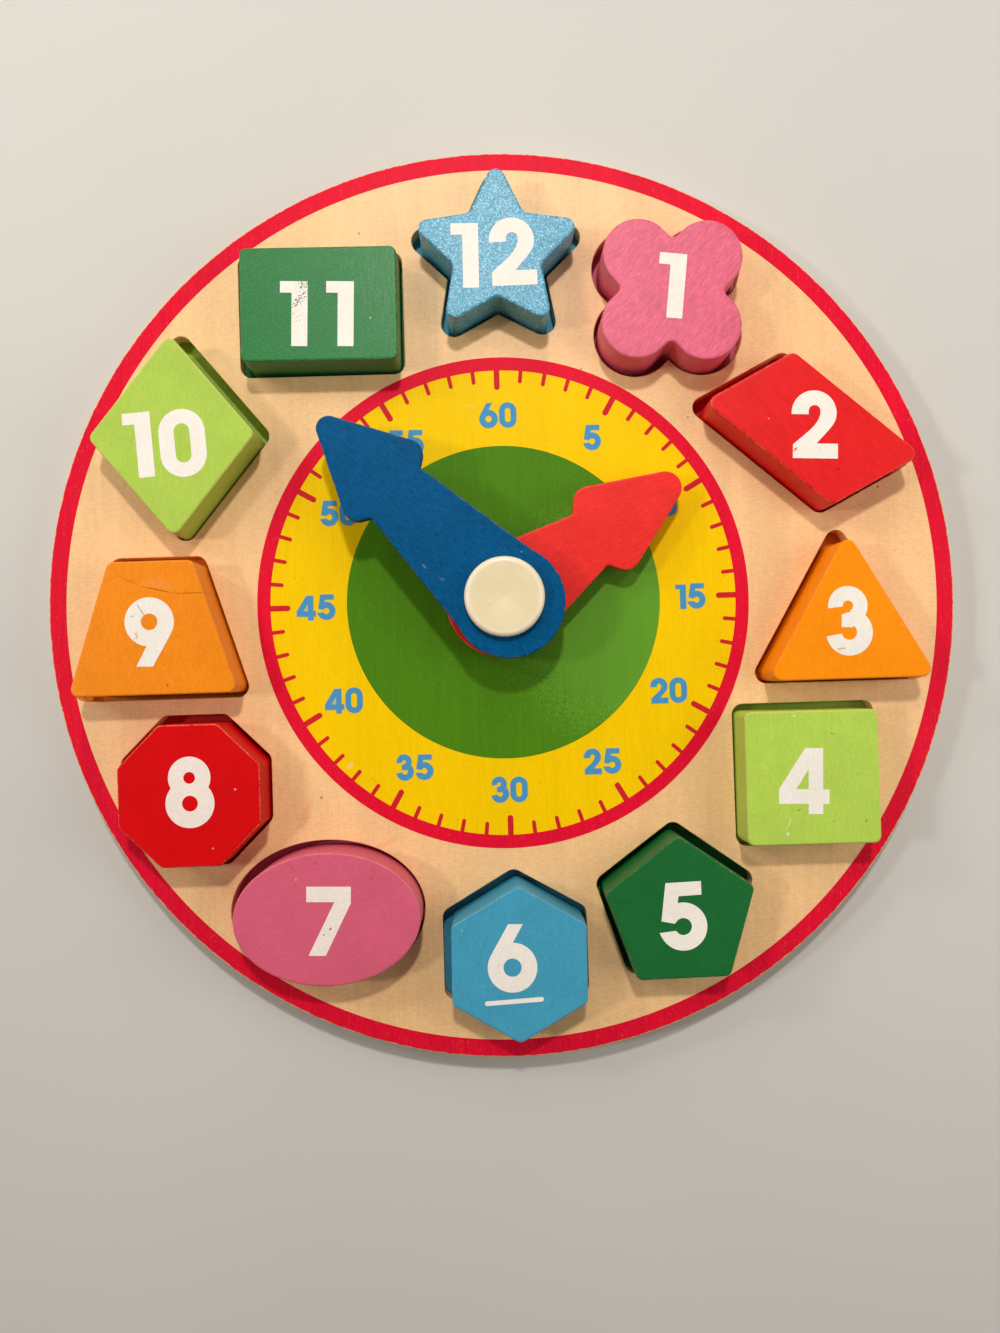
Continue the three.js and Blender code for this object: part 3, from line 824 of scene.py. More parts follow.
def mixed(first, second, share):
    """A colour between two others."""
    return tuple(a + (b - a) * share for a, b in zip(first[:3], second[:3])) + (1.0,)


def toned(tree, value, low, high, colour, dark, light):
    """A colour that goes from one multiple of itself to another as a value goes from low to high."""
    return blended(tree, between(tree, value, low, high), scaled(colour, dark), scaled(colour, light))


def marked(tree, place, base, marks):
    """A colour with scratches, rubs and, on the green disc, a painted sheen laid over it. Each is
    its middle, turn, length, width, strength and colour, and may add how far it is broken up, its
    gaps and its grit."""
    for (x, y), turn, long, wide, strength, tint, *rest in marks:
        centre = (x * MM, y * MM, 0)
        patch = {"Vector": place, "Centre": centre, "Angle": -turn, "Length": long, "Width": wide}
        patch.update(zip(("Break Up", "Gaps", "Grit"), rest))
        base = laid_over(tree, base, tint, use(tree, "Local patch", patch)["Mask"], strength)
    return base


def woven(tree, vector, base, weave, bright=None):
    """A colour broken up by the brush: cells of a width and a length in millimetres, lighter
    and darker by a share, with painted glints: bright points where the noise is highest."""
    width, length, share, painted_glint = weave
    cells = noise(tree, stretched(tree, vector, width, length), 1.5, 0.6)
    base = blended(tree, 1.0, base, between(tree, cells, 0.3, 0.7, 1 - share, 1 + share), "MULTIPLY")
    # Painted glints: whitish points laid into the colour where the brush's cells are highest
    if painted_glint:
        base = laid_over(tree, base, bright, between(tree, cells, 0.55, 0.68), painted_glint)
    return base, cells


def new_material(name, roughness, settings=None):
    """A material with its Principled shader, and its Object coordinates."""
    material = bpy.data.materials.new(name)
    material.use_nodes = True
    tree = material.node_tree
    shader = fill(tree, tree.nodes["Principled BSDF"], {"Roughness": roughness, **(settings or {})})
    return material, tree, shader, add(tree, "ShaderNodeTexCoord").outputs["Object"]


def finished(tree, shader, base, roughness, height, depth):
    """Sends a colour, a roughness and a relief as deep as depth, in millimetres, to the shader."""
    relief = add(tree, "ShaderNodeBump", {"Height": height, "Strength": 1.0, "Distance": depth * MM})
    fill(tree, shader, {"Base Color": base, "Roughness": roughness, "Normal": relief.outputs["Normal"]})


def ply_material(name, wood, dark, ease, rubs=()):
    """Birch ply: fibres, figure and pores on its faces, and layers of crossing grain that show
    as light and dark bands on its edge, by height, clear of its arrises."""
    material, tree, shader, place = new_material(name, 0.5)
    grain = use(tree, "Wood grain", {"Vector": place})
    rays = noise(tree, stretched(tree, mapped(tree, place, 0.0), 0.4, 1.5), 3.0)
    tone = times(tree, grain["Figure"], 0.4, times(tree, rays, 0.45, times(tree, grain["Fibres"], 0.25)))
    base = toned(tree, tone, 0.42, 0.68, wood, 0.9, 1.06)
    base = laid_over(tree, base, dark, grain["Pores"], 0.2)
    height = add(tree, "ShaderNodeSeparateXYZ", {"Vector": place}).outputs["Z"]
    upward = add(tree, "ShaderNodeCombineXYZ", {"X": times(tree, height, 1 / MM)}).outputs[0]
    bands = add(tree, "ShaderNodeTexWave", {"Vector": upward, "Scale": 0.33, "Phase Offset": 1.2},
                bands_direction="X").outputs["Fac"]
    on_edge = times(tree, math_node(tree, "LESS_THAN", height, (FACE_TOP - ease) * MM),
                    math_node(tree, "GREATER_THAN", height, ease * MM))
    base = laid_over(tree, base, dark, between(tree, bands, 0.35, 0.65), times(tree, on_edge, 0.5))
    base = laid_over(tree, base, scaled(dark, 0.35), specks(tree, place, 7.0, 0.035, 0.22), 0.6)
    base = marked(tree, place, base, rubs)
    rough = between(tree, grain["Fibres"], 0.3, 0.7, 0.42, 0.56)
    finished(tree, shader, base, rough, times(tree, grain["Pores"], -0.6, grain["Fibres"]), 0.025)
    return material


def painted(name, colour, wood, angle=math.pi / 2, relief=0.02, wear=0.5, gloss=0.4, shine=0.2,
            mottle=0.5, flecks=0.2, weave=(0.35, 0.5, 0.05, 0), scuffs=()):
    """Brushed enamel over wood. The grain shows through as relief and a faint change of tone,
    arrises carry a lighter line that is partly paint worn thin and partly a painted highlight, and
    small nicks show the wood."""
    material, tree, shader, place = new_material(name, gloss, {"Specular IOR Level": shine})
    vector = mapped(tree, place, angle)
    grain = use(tree, "Wood grain", {"Vector": vector, "Fibre Width": 0.3, "Fibre Length": 3.2,
                                     "Figure Width": 6.0, "Figure Length": 40.0})
    cloud = noise(tree, place, 5.0, 0.6, scale=90.0)
    tone = times(tree, cloud, 0.5, times(tree, grain["Fibres"], 0.5))
    base = toned(tree, tone, 0.35, 0.65, colour, 1 - 0.12 * mottle, 1 + 0.12 * mottle)
    edge = add(tree, "ShaderNodeAttribute", attribute_name="edge").outputs["Fac"]
    # A lighter line along the arrises: partly paint worn thin and partly a painted highlight
    thin = worn(tree, place, edge, 0.4 * wear, 3.5)
    base = laid_over(tree, base, mixed(scaled(colour, 1.25), wood, 0.3), thin, 0.42)
    base = laid_over(tree, base, scaled(wood, 0.95), worn(tree, place, edge, 0.5 * wear - 0.3, 0.9), 0.85)
    nicks = specks(tree, place, 4.5, 0.06, flecks)
    base = laid_over(tree, base, mixed(colour, wood, 0.55), nicks, 0.6)
    dirt = specks(tree, mapped(tree, place, 1.0), 5.5, 0.05, flecks)
    base = laid_over(tree, base, scaled(colour, 0.3), dirt, 0.7)
    # The brush's cells, with whitened paint as the colour of the painted glints
    base, cells = woven(tree, vector, base, weave, mixed(scaled(colour, 1.5), (1, 1, 1), 0.35))
    base = marked(tree, place, base, scuffs)
    rough = between(tree, grain["Fibres"], 0.3, 0.7, gloss - 0.05, gloss + 0.07)
    peel = noise(tree, place, 2.0, scale=1900.0)
    height = times(tree, nicks, -0.5, times(tree, cells, 0.8, times(tree, peel, 0.35)))
    finished(tree, shader, base, times(tree, thin, 0.1, rough), height, relief)
    return material


def printed(name, colour, wood, chips=0.0, chip_from=0.0, marks=(), lines=0.3,
            flecks=(5.0, 0.06, 0.16)):
    """Ink printed on the board: the board's fibres show in its tone and relief, small flecks
    show the wood, and towards an outer radius it is chipped away."""
    gloss = 0.42
    material, tree, shader, place = new_material(name, gloss, {"Specular IOR Level": 0.06})
    grain = use(tree, "Wood grain", {"Vector": place, "Fibre Width": 0.3, "Fibre Length": 14.0})
    tone = times(tree, grain["Figure"], 0.35, times(tree, grain["Fibres"], 0.65))
    base = toned(tree, tone, 0.36, 0.64, colour, 1 - 0.22 * lines, 1 + 0.18 * lines)
    base = laid_over(tree, base, mixed(colour, wood, 0.6), grain["Pores"], 0.5 * lines)
    base = laid_over(tree, base, scaled(mixed(colour, wood, 0.2), 0.45), specks(tree, place, *flecks), 0.55)
    if chips:
        near = between(tree, from_axis(tree, place), chip_from * MM, (chip_from + 1.2) * MM)
        base = blended(tree, worn(tree, place, near, chips, 1.6), base, wood)
    base, _ = woven(tree, place, base, (0.4, 0.6, 0.035, 0))
    base = marked(tree, place, base, marks)
    rough = between(tree, grain["Fibres"], 0.3, 0.7, gloss - 0.06, gloss + 0.1)
    finished(tree, shader, base, rough, times(tree, grain["Pores"], -0.5, grain["Fibres"]), 0.02)
    return material


def plastic(name, colour, stain, gloss, rim=None, marks=()):
    """Moulded plastic with faint clouding, a few stains and hairline rubs. Beyond the radius
    of its rim it is paler."""
    material, tree, shader, place = new_material(name, gloss, {"IOR": 1.49})
    cloud = noise(tree, place, 4.0, 0.55, scale=140.0)
    base = toned(tree, cloud, 0.38, 0.68, colour, 0.97, 1.02)
    base = blended(tree, between(tree, cloud, 0.6, 0.78, 0.0, 0.4), base, stain)
    base = laid_over(tree, base, scaled(stain, 0.6), specks(tree, place, 3.4, 0.05, 0.3), 0.45)
    base = marked(tree, place, base, marks)
    if rim:
        paler_rim = between(tree, from_axis(tree, place), (rim - 0.5) * MM, (rim + 0.3) * MM, 0.0, 0.55)
        base = blended(tree, paler_rim, base, mixed(colour, (1.0, 0.97, 0.9), 0.5))
    rubs = noise(tree, stretched(tree, mapped(tree, place, 0.6), 0.12, 6.0), 2.0)
    rough = between(tree, rubs, 0.45, 0.75, gloss - 0.03, gloss + 0.14)
    finished(tree, shader, base, rough, times(tree, rubs, 0.3, cloud), 0.012)
    return material


# Settings that a user would change
def length(label, description, value):
    """A size in millimetres, held in metres as Blender's lengths are."""
    return bpy.props.FloatProperty(name=label, description=description, default=value * MM, min=0.0,
                                   precision=5, unit="LENGTH")


def colour(label, description, value):
    """A colour."""
    return bpy.props.FloatVectorProperty(name=label, description=description, default=value, size=3,
                                         min=0.0, max=1.0, subtype="COLOR")


def power(label, description, value):
    """A lamp's power in watts."""
    return bpy.props.FloatProperty(name=label, description=description, default=value, min=0.0,
                                   unit="POWER")


class ClockSizes(bpy.types.PropertyGroup):
    board_radius: length("Board radius", "Radius of both plies", BOARD_RADIUS)
    board_ease: length("Board arris", "Radius of the board's rounded edges", 0.7)
    socket_ease: length("Socket arris", "Radius of the sockets' rounded upper edges", 0.22)
    block_ease: length("Block arris", "Radius of the blocks' rounded edges", 0.5)
    hand_ease: length("Hand arris", "Radius of the hands' rounded edges", 0.5)
    rim_inner: length("Rim from", "Radius where the printed rim starts", 112.87)
    ring_outer: length("Ring to", "Outer radius of the dial's red ring", 63.74)
    ring_inner: length("Ring from", "Inner radius of the dial's red ring", 60.31)
    disc_radius: length("Disc", "Radius of the dial's green disc", 40.59)
    minute_length: length("Minute mark", "Length of a minute mark", 3.25)
    minute_width: length("Minute mark width", "Width of a minute mark", 1.02)
    five_length: length("Five-minute mark", "Length of a five-minute mark", 5.1)
    five_width: length("Five-minute mark width", "Width of a five-minute mark", 1.48)
    numeral_radius: length("Numeral circle", "Radius of the circle of dial numerals", 48.6)
    numeral_height: length("Numeral height", "Height of the dial numerals", 6.5)
    print_thickness: length("Print", "Thickness of one printed layer", 0.03)
    numeral_thickness: length("Numeral paint", "Thickness of the paint of the blocks' numerals", 0.05)
    cap_dish: length("Cap dish", "How deep the cap is dished", 0.6)


class ClockColours(bpy.types.PropertyGroup):
    wood: colour("Wood", "Pale birch", (0.92, 0.57, 0.275))
    wood_dark: colour("Dark wood", "Pores, and the cross layers of the ply", (0.44, 0.22, 0.09))
    pink: colour("Pink", "Paint of blocks 1 and 7", (0.71, 0.12, 0.21))
    red: colour("Red", "Paint of blocks 2 and 8", (0.72, 0.004, 0.006))
    orange: colour("Orange", "Paint of blocks 3 and 9", (0.94, 0.27, 0.004))
    light_green: colour("Light green", "Paint of blocks 4 and 10", (0.43, 0.62, 0.085))
    dark_green: colour("Dark green", "Paint of blocks 5 and 11", (0.012, 0.165, 0.037))
    sky_blue: colour("Sky blue", "Paint of blocks 6 and 12", (0.06, 0.35, 0.54))
    rim_red: colour("Rim red", "Print of the rim, ring and marks", (0.76, 0.006, 0.033))
    dial_yellow: colour("Dial yellow", "Print under the marks", (0.93, 0.595, 0.0))
    dial_green: colour("Dial green", "Print of the middle disc", (0.073, 0.225, 0.007))
    dial_blue: colour("Dial blue", "Print of the dial's numerals", (0.07, 0.30, 0.55))
    numeral_white: colour("Numeral white", "Paint of the blocks' numerals", (0.90, 0.85, 0.79))
    minute_hand: colour("Minute hand", "Paint of the minute hand", (0.0, 0.082, 0.228))
    hour_hand: colour("Hour hand", "Paint of the hour hand", (0.82, 0.022, 0.018))
    cream: colour("Cream", "Plastic of the button and the rear socket", (0.84, 0.72, 0.47))
    nylon: colour("Washers", "Nylon of the two washers", (0.75, 0.71, 0.58))


class ClockStage(bpy.types.PropertyGroup):
    floor: colour("Floor", "Pale floor under the clock", (0.62, 0.61, 0.59))
    main_power: power("Main lamp", "Power of the small lamp above twelve", 2.75)
    left_power: power("Left lamp", "Power of the lamp on the left", 1.5)
    corner_power: power("Corner lamp", "Power of the lamp at the upper left", 1.6)
    top_power: power("Top softbox", "Power of the wide light beyond twelve", 0.42)
    right_power: power("Right softbox", "Power of the wide light on the right", 0.85)
    upper_left_power: power("Upper left softbox", "Power of the wide light at the upper left", 0.5)
    ambient: bpy.props.FloatProperty(name="Ambient", description="Strength of the surrounding light",
                                     default=0.11)


def sizes():
    """The sizes as plain millimetres by name."""
    group = bpy.context.scene.clock_sizes
    return {key: getattr(group, key) / MM for key in ClockSizes.__annotations__}


def colours():
    """The colours by name."""
    group = bpy.context.scene.clock_colours
    return {key: tuple(getattr(group, key)) + (1.0,) for key in ClockColours.__annotations__}


# Four faint red rubs on the wood: each one's place, turn, length, width and strength
WOOD_RUBS = [
    ((-52.5, -53.0), 1.2, 7.0, 2.2, 0.35), ((-34.0, -62.5), 0.5, 9.0, 1.6, 0.3),
    ((-60.0, -46.0), -0.4, 8.0, 0.35, 0.25), ((31.0, 70.5), 0.2, 5.0, 1.4, 0.14),
]


class CLOCK_OT_boards(bpy.types.Operator):
    """Makes the backing ply and the face ply with its twelve sockets"""
    bl_idname = "clock.boards"
    bl_label = "Boards"

    def execute(self, context):
        size, tint = sizes(), colours()
        radius, ease = size["board_radius"], size["board_ease"]
        inner = radius - ease
        backing = [
            (RECESS_RADIUS, 0, 0), (inner - 0.3, 0, 0), *arris(inner, ease, ease, -np.pi / 2, 0, 7, 1.0),
            *crisp(radius, BASE_TOP), (BORE_RADIUS, BASE_TOP, 0), (BORE_RADIUS, RECESS_DEPTH, 0),
            (RECESS_RADIUS, RECESS_DEPTH, 0),
        ]
        material = ply_material("Backing ply", tint["wood"], tint["wood_dark"], ease)
        base = turned(backing, 360, True)
        make_piece("backing_ply", base, material, "board", "base_board")

        foot = [(0, BASE_TOP, 0), (-HEM, BASE_TOP, 0)]
        edge = eased(BASE_TOP, FACE_TOP, ease)
        edge = np.concatenate([edge[edge[:, 1] > BASE_TOP + ease], foot])
        wall = eased(BASE_TOP, FACE_TOP, size["socket_ease"], 3, 0.08)
        wall = np.concatenate([wall[wall[:, 1] > BASE_TOP + 1], foot])
        holes = [socket_outline(number) for number in range(1, 13)] + [circle(BORE_RADIUS, 48)]
        rubs = [(*rub, mixed(tint["wood"], tint["rim_red"], 0.5)) for rub in WOOD_RUBS]
        material = ply_material("Face ply", tint["wood"], tint["wood_dark"], ease, rubs)
        face = plate(circle(radius), holes, edge, wall)
        make_piece("face_ply", face, material, "board", "face_board")
        return {"FINISHED"}


class CLOCK_OT_printing(bpy.types.Operator):
    """Prints the rim, the dial with its marks and numerals"""
    bl_idname = "clock.printing"
    bl_label = "Printing"

    def execute(self, context):
        size, tint = sizes(), colours()
        wood, red, yellow = tint["wood"], tint["rim_red"], tint["dial_yellow"]
        layer, radius, ease = size["print_thickness"], size["board_radius"], size["board_ease"]
        low, rim_inner = FACE_TOP - SUNK, size["rim_inner"]

        # The rim runs over the arris as far as 50 degrees above the wall, on a foot that stays
        # inside the wood
        over = arris(radius - ease, FACE_TOP - ease, ease + layer, math.radians(50), math.pi / 2, 5)
        foot = [(rim_inner, low, 0), (radius - ease - 0.2, low, 0), (radius - 0.4, FACE_TOP - 0.35, 0)]
        rim = [*foot, *over, (rim_inner, FACE_TOP + layer, 0)]
        rim_red = printed("Rim red print", red, wood, chips=0.46, chip_from=radius - 1.25, lines=0.45)
        lay_on_board("printed_rim", turned(rim, 360, True), rim_red)

        pale, dark = scaled(wood, 1.05), scaled(yellow, 0.45)
        scratches = [
            ((-6.9, 51.2), 2.62, 2.4, 0.22, 0.85, pale), ((-41.0, -41.2), 0.6, 1.7, 1.1, 0.9, pale),
            ((-35.0, -45.0), -0.9, 2.6, 0.16, 0.6, dark),
            ((-14.0, -56.0), 0.3, 2.2, 1.1, 0.35, scaled(yellow, 0.3), 1.0, 0.5),
        ]
        # Painted sheen: a broad soft patch of paler, greyer green over the right side of the green disc
        # stands in for light shining on the print
        rub_and_sheen = [((30.0, -5.0), 0.0, 56.0, 60.0, 0.3, (0.23, 0.575, 0.07, 1.0), 0.25)]
        overlap, round_bore = 0.4, 0.3
        films = [
            ("dial_yellow", size["disc_radius"] - overlap, size["ring_inner"] + overlap, 1.0,
             printed("Dial yellow print", yellow, wood, marks=scratches, lines=0.2,
                     flecks=(2.6, 0.07, 0.3))),
            ("dial_green", BORE_RADIUS + round_bore, size["disc_radius"], 1.6,
             printed("Dial green print", tint["dial_green"], wood, marks=rub_and_sheen, lines=0.35)),
            ("dial_ring", size["ring_inner"], size["ring_outer"], 1.6,
             printed("Dial red print", red, wood)),
        ]
        for name, inner, outer, layers, material in films:
            lay_on_board(name, film(inner, outer, low, FACE_TOP + layers * layer), material)

        into_ring = 0.3
        five, minute = ((size[f"{kind}_length"], size[f"{kind}_width"]) for kind in ("five", "minute"))
        marks = [tick(6 * number, size["ring_inner"] + into_ring, long + into_ring, wide)
                 for number, (long, wide) in enumerate(([five] + [minute] * 4) * 12)]
        mark_red = printed("Dial mark print", mixed(scaled(red, 0.8), yellow, 0.02), wood)
        lay_on_board("minute_marks", ink(marks, [], low, FACE_TOP + 1.5 * layer), mark_red)

        border = 0.13
        digits, holes, borders = [], [], []
        for hour, text in enumerate(DIAL_NUMERALS):
            place = towards(30 * hour) * size["numeral_radius"]
            solids, counters = written(text, size["numeral_height"], place)
            digits += solids
            holes += counters
            borders += thickened(solids, border) + thickened(counters, border)[len(counters):]
        blue = printed("Dial blue print", tint["dial_blue"], wood, lines=0.25)
        lay_on_board("dial_numerals", ink(digits, holes, low, FACE_TOP + 2.4 * layer), blue)
        edge = printed("Dial numeral edge print", mixed(yellow, tint["dial_blue"], 0.45), wood, lines=0.2)
        small_holes = [shrunk(hole, border) for hole in holes]
        lay_on_board("dial_numeral_borders", ink(borders, small_holes, low, FACE_TOP + 1.8 * layer), edge)
        return {"FINISHED"}


# How each block was painted: a factor that makes its paint lighter or darker, partly its own
# colour and partly painted light, the brush's angle, and its finish
BLOCK_LOOKS = {
    1: (1.03, dict(angle=0.85, relief=0.045, gloss=0.42, shine=0.3, flecks=0.1,
                   weave=(0.32, 2.0, 0.14, 0.03))),
    2: (1.06, dict(angle=2.3, relief=0.022, shine=0.3, wear=0.7, flecks=0.06, weave=(0.4, 2.6, 0.06, 0))),
    3: (1.05, dict(angle=1.2, relief=0.02, shine=0.06)),
    4: (1.04, dict(angle=1.5, relief=0.014, wear=0.85, flecks=0.3)),
    5: (0.86, dict(angle=0.4, relief=0.016, weave=(0.3, 0.6, 0.07, 0))),
    6: (0.97, dict(angle=1.3, relief=0.02, weave=(0.3, 0.6, 0.06, 0))),
    7: (0.95, dict(angle=0.3, relief=0.018, wear=0.65, flecks=0.08)),
    8: (0.93, dict(angle=0.7, relief=0.02, wear=0.8, shine=0.05)),
    9: (0.94, dict(angle=1.57, relief=0.02, flecks=0.3, weave=(0.3, 0.6, 0.06, 0))),
    10: (0.97, dict(angle=1.5, relief=0.015, wear=0.95, weave=(0.3, 0.6, 0.04, 0))),
    11: (1.13, dict(angle=1.57, relief=0.025, shine=0.3, weave=(0.28, 0.4, 0.14, 0.1))),
    12: (0.95, dict(angle=1.0, relief=0.05, gloss=0.38, shine=0.4, weave=(0.36, 0.5, 0.4, 0.72))),
}

# The plainest marks on four blocks: each mark's place, turn, length, width, strength, and how
# much white is in its colour, or black where that is negative
BLOCK_MARKS = {
    4: [((71.3, -31.5), 0.3, 0.8, 0.6, 0.8, 0.5), ((63.6, -44.2), 1.2, 0.6, 0.5, 0.7, 0.5),
        ((69.1, -58.2), 1.13, 2.8, 0.34, 0.7, 0.45), ((68.7, -60.8), 1.5, 1.0, 0.8, 0.8, 0.5),
        ((80.7, -36.3), 2.6, 1.0, 0.4, 0.7, -0.65), ((71.6, -55.0), 0.6, 0.9, 0.4, 0.7, -0.65),
        ((80.3, -58.0), 2.2, 0.7, 0.4, 0.6, -0.6), ((86.8, -46.5), 0.4, 0.6, 0.4, 0.6, -0.6)],
    7: [((-48.9, -64.3), 0.7, 0.8, 0.4, 0.7, -0.55), ((-35.0, -68.5), 1.2, 0.7, 0.4, 0.6, -0.55),
        ((-54.9, -76.0), 2.4, 0.9, 0.3, 0.5, -0.5)],
    8: [((-68.1, -45.3), 0.0, 0.6, 0.5, 0.8, 0.4), ((-73.9, -59.7), 0.0, 0.5, 0.4, 0.8, 0.4)],
    9: [((-93.1, 7.3), -0.46, 7.1, 0.28, 0.5, -0.5), ((-86.1, 4.8), -0.23, 8.0, 0.36, 0.8, -0.6),
        ((-78.4, 3.7), 0.0, 8.2, 0.32, 0.75, -0.58), ((-85.6, 6.2), -0.2, 9.0, 2.4, 0.12, 0.2)],
}

# Where the white of a numeral is worn through: each mark's place from its block's middle, its
# turn, length, width and strength, how bright the paint under it is, and how it is broken up
NUMERAL_MARKS = {
    2: [((-4.6, -5.2), (0.6, 1.1, 0.6, 0.8), 1.0, ())],
    3: [((-2.6, -9.8), (0.2, 2.4, 0.5, 0.6), 1.0, ())],
    7: [((0.918, -2.262), (0.9, 0.7, 0.45, 0.9), 0.3, ()),
        ((-0.682, -3.662), (0.9, 0.7, 0.45, 0.9), 0.3, ())],
    9: [((-2.4, 4.3), (2.1, 2.8, 0.26, 0.8), 0.5, (0.6,)),
        ((-3.7, -2.1), (1.5, 1.6, 0.8, 0.8), 0.5, (1.4, 0.3)),
        ((-4.6, 3.1), (0.9, 1.2, 0.5, 0.7), 0.5, (1.4, 0.3))],
    11: [((-3.7, 4.6), (1.2, 2.4, 1.4, 0.95), 0.6, (1.8, 0.35, 0.5)),
         ((-4.7, 0.9), (0.7, 5.0, 1.3, 0.95), 0.6, (1.8, 0.35, 0.5)),
         ((-5.2, -3.4), (0.8, 4.5, 3.2, 0.95), 0.6, (1.8, 1.0, 0.5))],
}

# How much of a block's paint shows through the white of its numeral, where it does
PAINT_IN_WHITE = {7: 0.07, 8: 0.07}


class CLOCK_OT_blocks(bpy.types.Operator):
    """Makes the twelve blocks, and the painted floors of their sockets"""
    bl_idname = "clock.blocks"
    bl_label = "Blocks"

    def execute(self, context):
        size, tint = sizes(), colours()
        inset, proud, sunk = 0.02, 0.006, 0.01
        floor = np.array([(-inset, BASE_TOP + proud, 0), (-inset, BASE_TOP - sunk, 0)])
        for number, (shape, _, _, _, paint) in enumerate(HOURS, 1):
            node = block_node(number)
            low, high = box_of(node)
            coat_and_light, finish = BLOCK_LOOKS[number]
            # The factor is partly the block's own paint and partly painted light
            enamel = scaled(tint[paint], coat_and_light)
            scuffs = [(*mark, mixed(enamel, [white > 0] * 3, abs(white)), 0.4)
                      for *mark, white in BLOCK_MARKS.get(number, ())]
            material = painted(f"Block {number} paint", enamel, tint["wood"], scuffs=scuffs, **finish)
            surface = plate(block_outline(number), [], eased(low[2], high[2], size["block_ease"]))
            make_piece(f"painted_{shape}_{number}", surface, material, node, node)
            material = painted(f"Socket {number} paint", scaled(tint[paint], 0.8), tint["wood"], gloss=0.5,
                               mottle=1.0)
            lay_on_board(f"socket_floor_{number}", plate(socket_outline(number), [], floor), material)
        return {"FINISHED"}


class CLOCK_OT_block_numerals(bpy.types.Operator):
    """Paints the numerals on the blocks"""
    bl_idname = "clock.block_numerals"
    bl_label = "Block numerals"

    def execute(self, context):
        size, tint = sizes(), colours()
        for number, placed in BLOCK_NUMERALS.items():
            node, paint = block_node(number), tint[HOURS[number - 1][4]]
            low, high = box_of(node)
            middle = (low + high)[:2] / 2
            solids, holes = [], []
            for digit, place, turn in placed:
                for parts, made in zip(DIGITS[digit], (solids, holes)):
                    made += [rotated(part, math.radians(turn)) + place + middle for part in parts]
            if number == 6:
                start, end, half = (np.array(part) for part in UNDERLINE)
                along = math.atan2(*(end - start)[::-1])
                solids.append(middle + np.concatenate([
                    start + half * directions(along + np.linspace(np.pi / 2, 3 * np.pi / 2, 12)),
                    end + half * directions(along + np.linspace(-np.pi / 2, np.pi / 2, 12))]))
            under, finish = scaled(paint, 0.8), BLOCK_LOOKS[number][1]
            scuffs = [(middle + place, *mark, scaled(under, shade), *broken)
                      for place, mark, shade, broken in NUMERAL_MARKS.get(number, ())]
            white = mixed(tint["numeral_white"], paint, PAINT_IN_WHITE.get(number, 0.0))
            material = painted(f"Numeral {number} paint", white, under, angle=finish["angle"],
                               relief=0.8 * finish["relief"], gloss=0.5, mottle=0.35, flecks=0.3,
                               weave=(0.35, 0.5, 0.04, 0), scuffs=scuffs)
            surface = ink(solids, holes, high[2] - SUNK, high[2] + size["numeral_thickness"])
            make_piece(f"numeral_{number}", surface, material, node, smooth=False)
        return {"FINISHED"}


# Each hand: its outline's sizes in millimetres and degrees, its bearing, and its finish
HANDS = {
    "minute_hand": (
        dict(reach=63, hub_set=1.6, hub_swell=0.3, blend=12, head=26, neck_half=8.65, tip=3.1, barb=3.6,
             neck=1, tip_half=27.4, barb_angle=58.5, flare=7.5),
        -44.4, dict(shine=0.06, wear=0.5, flecks=0.1, weave=(0.34, 2.2, 0.18, 0))),
    "hour_hand": (
        dict(reach=54, hub_set=0.2, hub_swell=1.1, blend=8, head=27.4, neck_half=7.75, tip=4.2, barb=3.9,
             neck=1, tip_half=23.5, barb_angle=53, flare=12.6),
        57.0, dict(shine=0.2, wear=0.62, flecks=0.25, weave=(0.36, 1.4, 0.06, 0))),
}


class CLOCK_OT_hands(bpy.types.Operator):
    """Makes the minute hand and the hour hand"""
    bl_idname = "clock.hands"
    bl_label = "Hands"

    def execute(self, context):
        size, tint = sizes(), colours()
        pale = mixed(tint["minute_hand"], tint["wood"], 0.45)
        scratches = {"minute_hand": [((-15.0, 4.6), 2.5, 3.0, 0.9, 0.35, pale, 0.9, 0.4),
                                     ((-19.5, 8.2), 2.4, 1.6, 0.4, 0.4, pale)]}
        for name, (shape, bearing, finish) in HANDS.items():
            low, high = box_of(name)
            angle = math.radians(90 - bearing)
            # On so thin a plate the wall's two middle rows would cross, so they are left out
            edge = eased(low[2], high[2], size["hand_ease"], 5, 0.12)
            half = len(edge) // 2
            edge = np.delete(edge, (half - 1, half), 0)
            hole = np.array([(-HEM, high[2], 0), (0, high[2], 0), (0, low[2], 0), (-HEM, low[2], 0)])
            line = moved(hand_outline(**shape), (0, 0), angle)
            surface = plate(line, [circle(BORE_RADIUS, 96)], edge, hole)
            label = name.replace("_", " ").title()
            material = painted(f"{label} paint", tint[name], tint["wood"], angle=angle, relief=0.03,
                               mottle=0.8, scuffs=scratches.get(name, ()), **finish)
            make_piece(f"painted_{name}", surface, material, name, name)
        return {"FINISHED"}


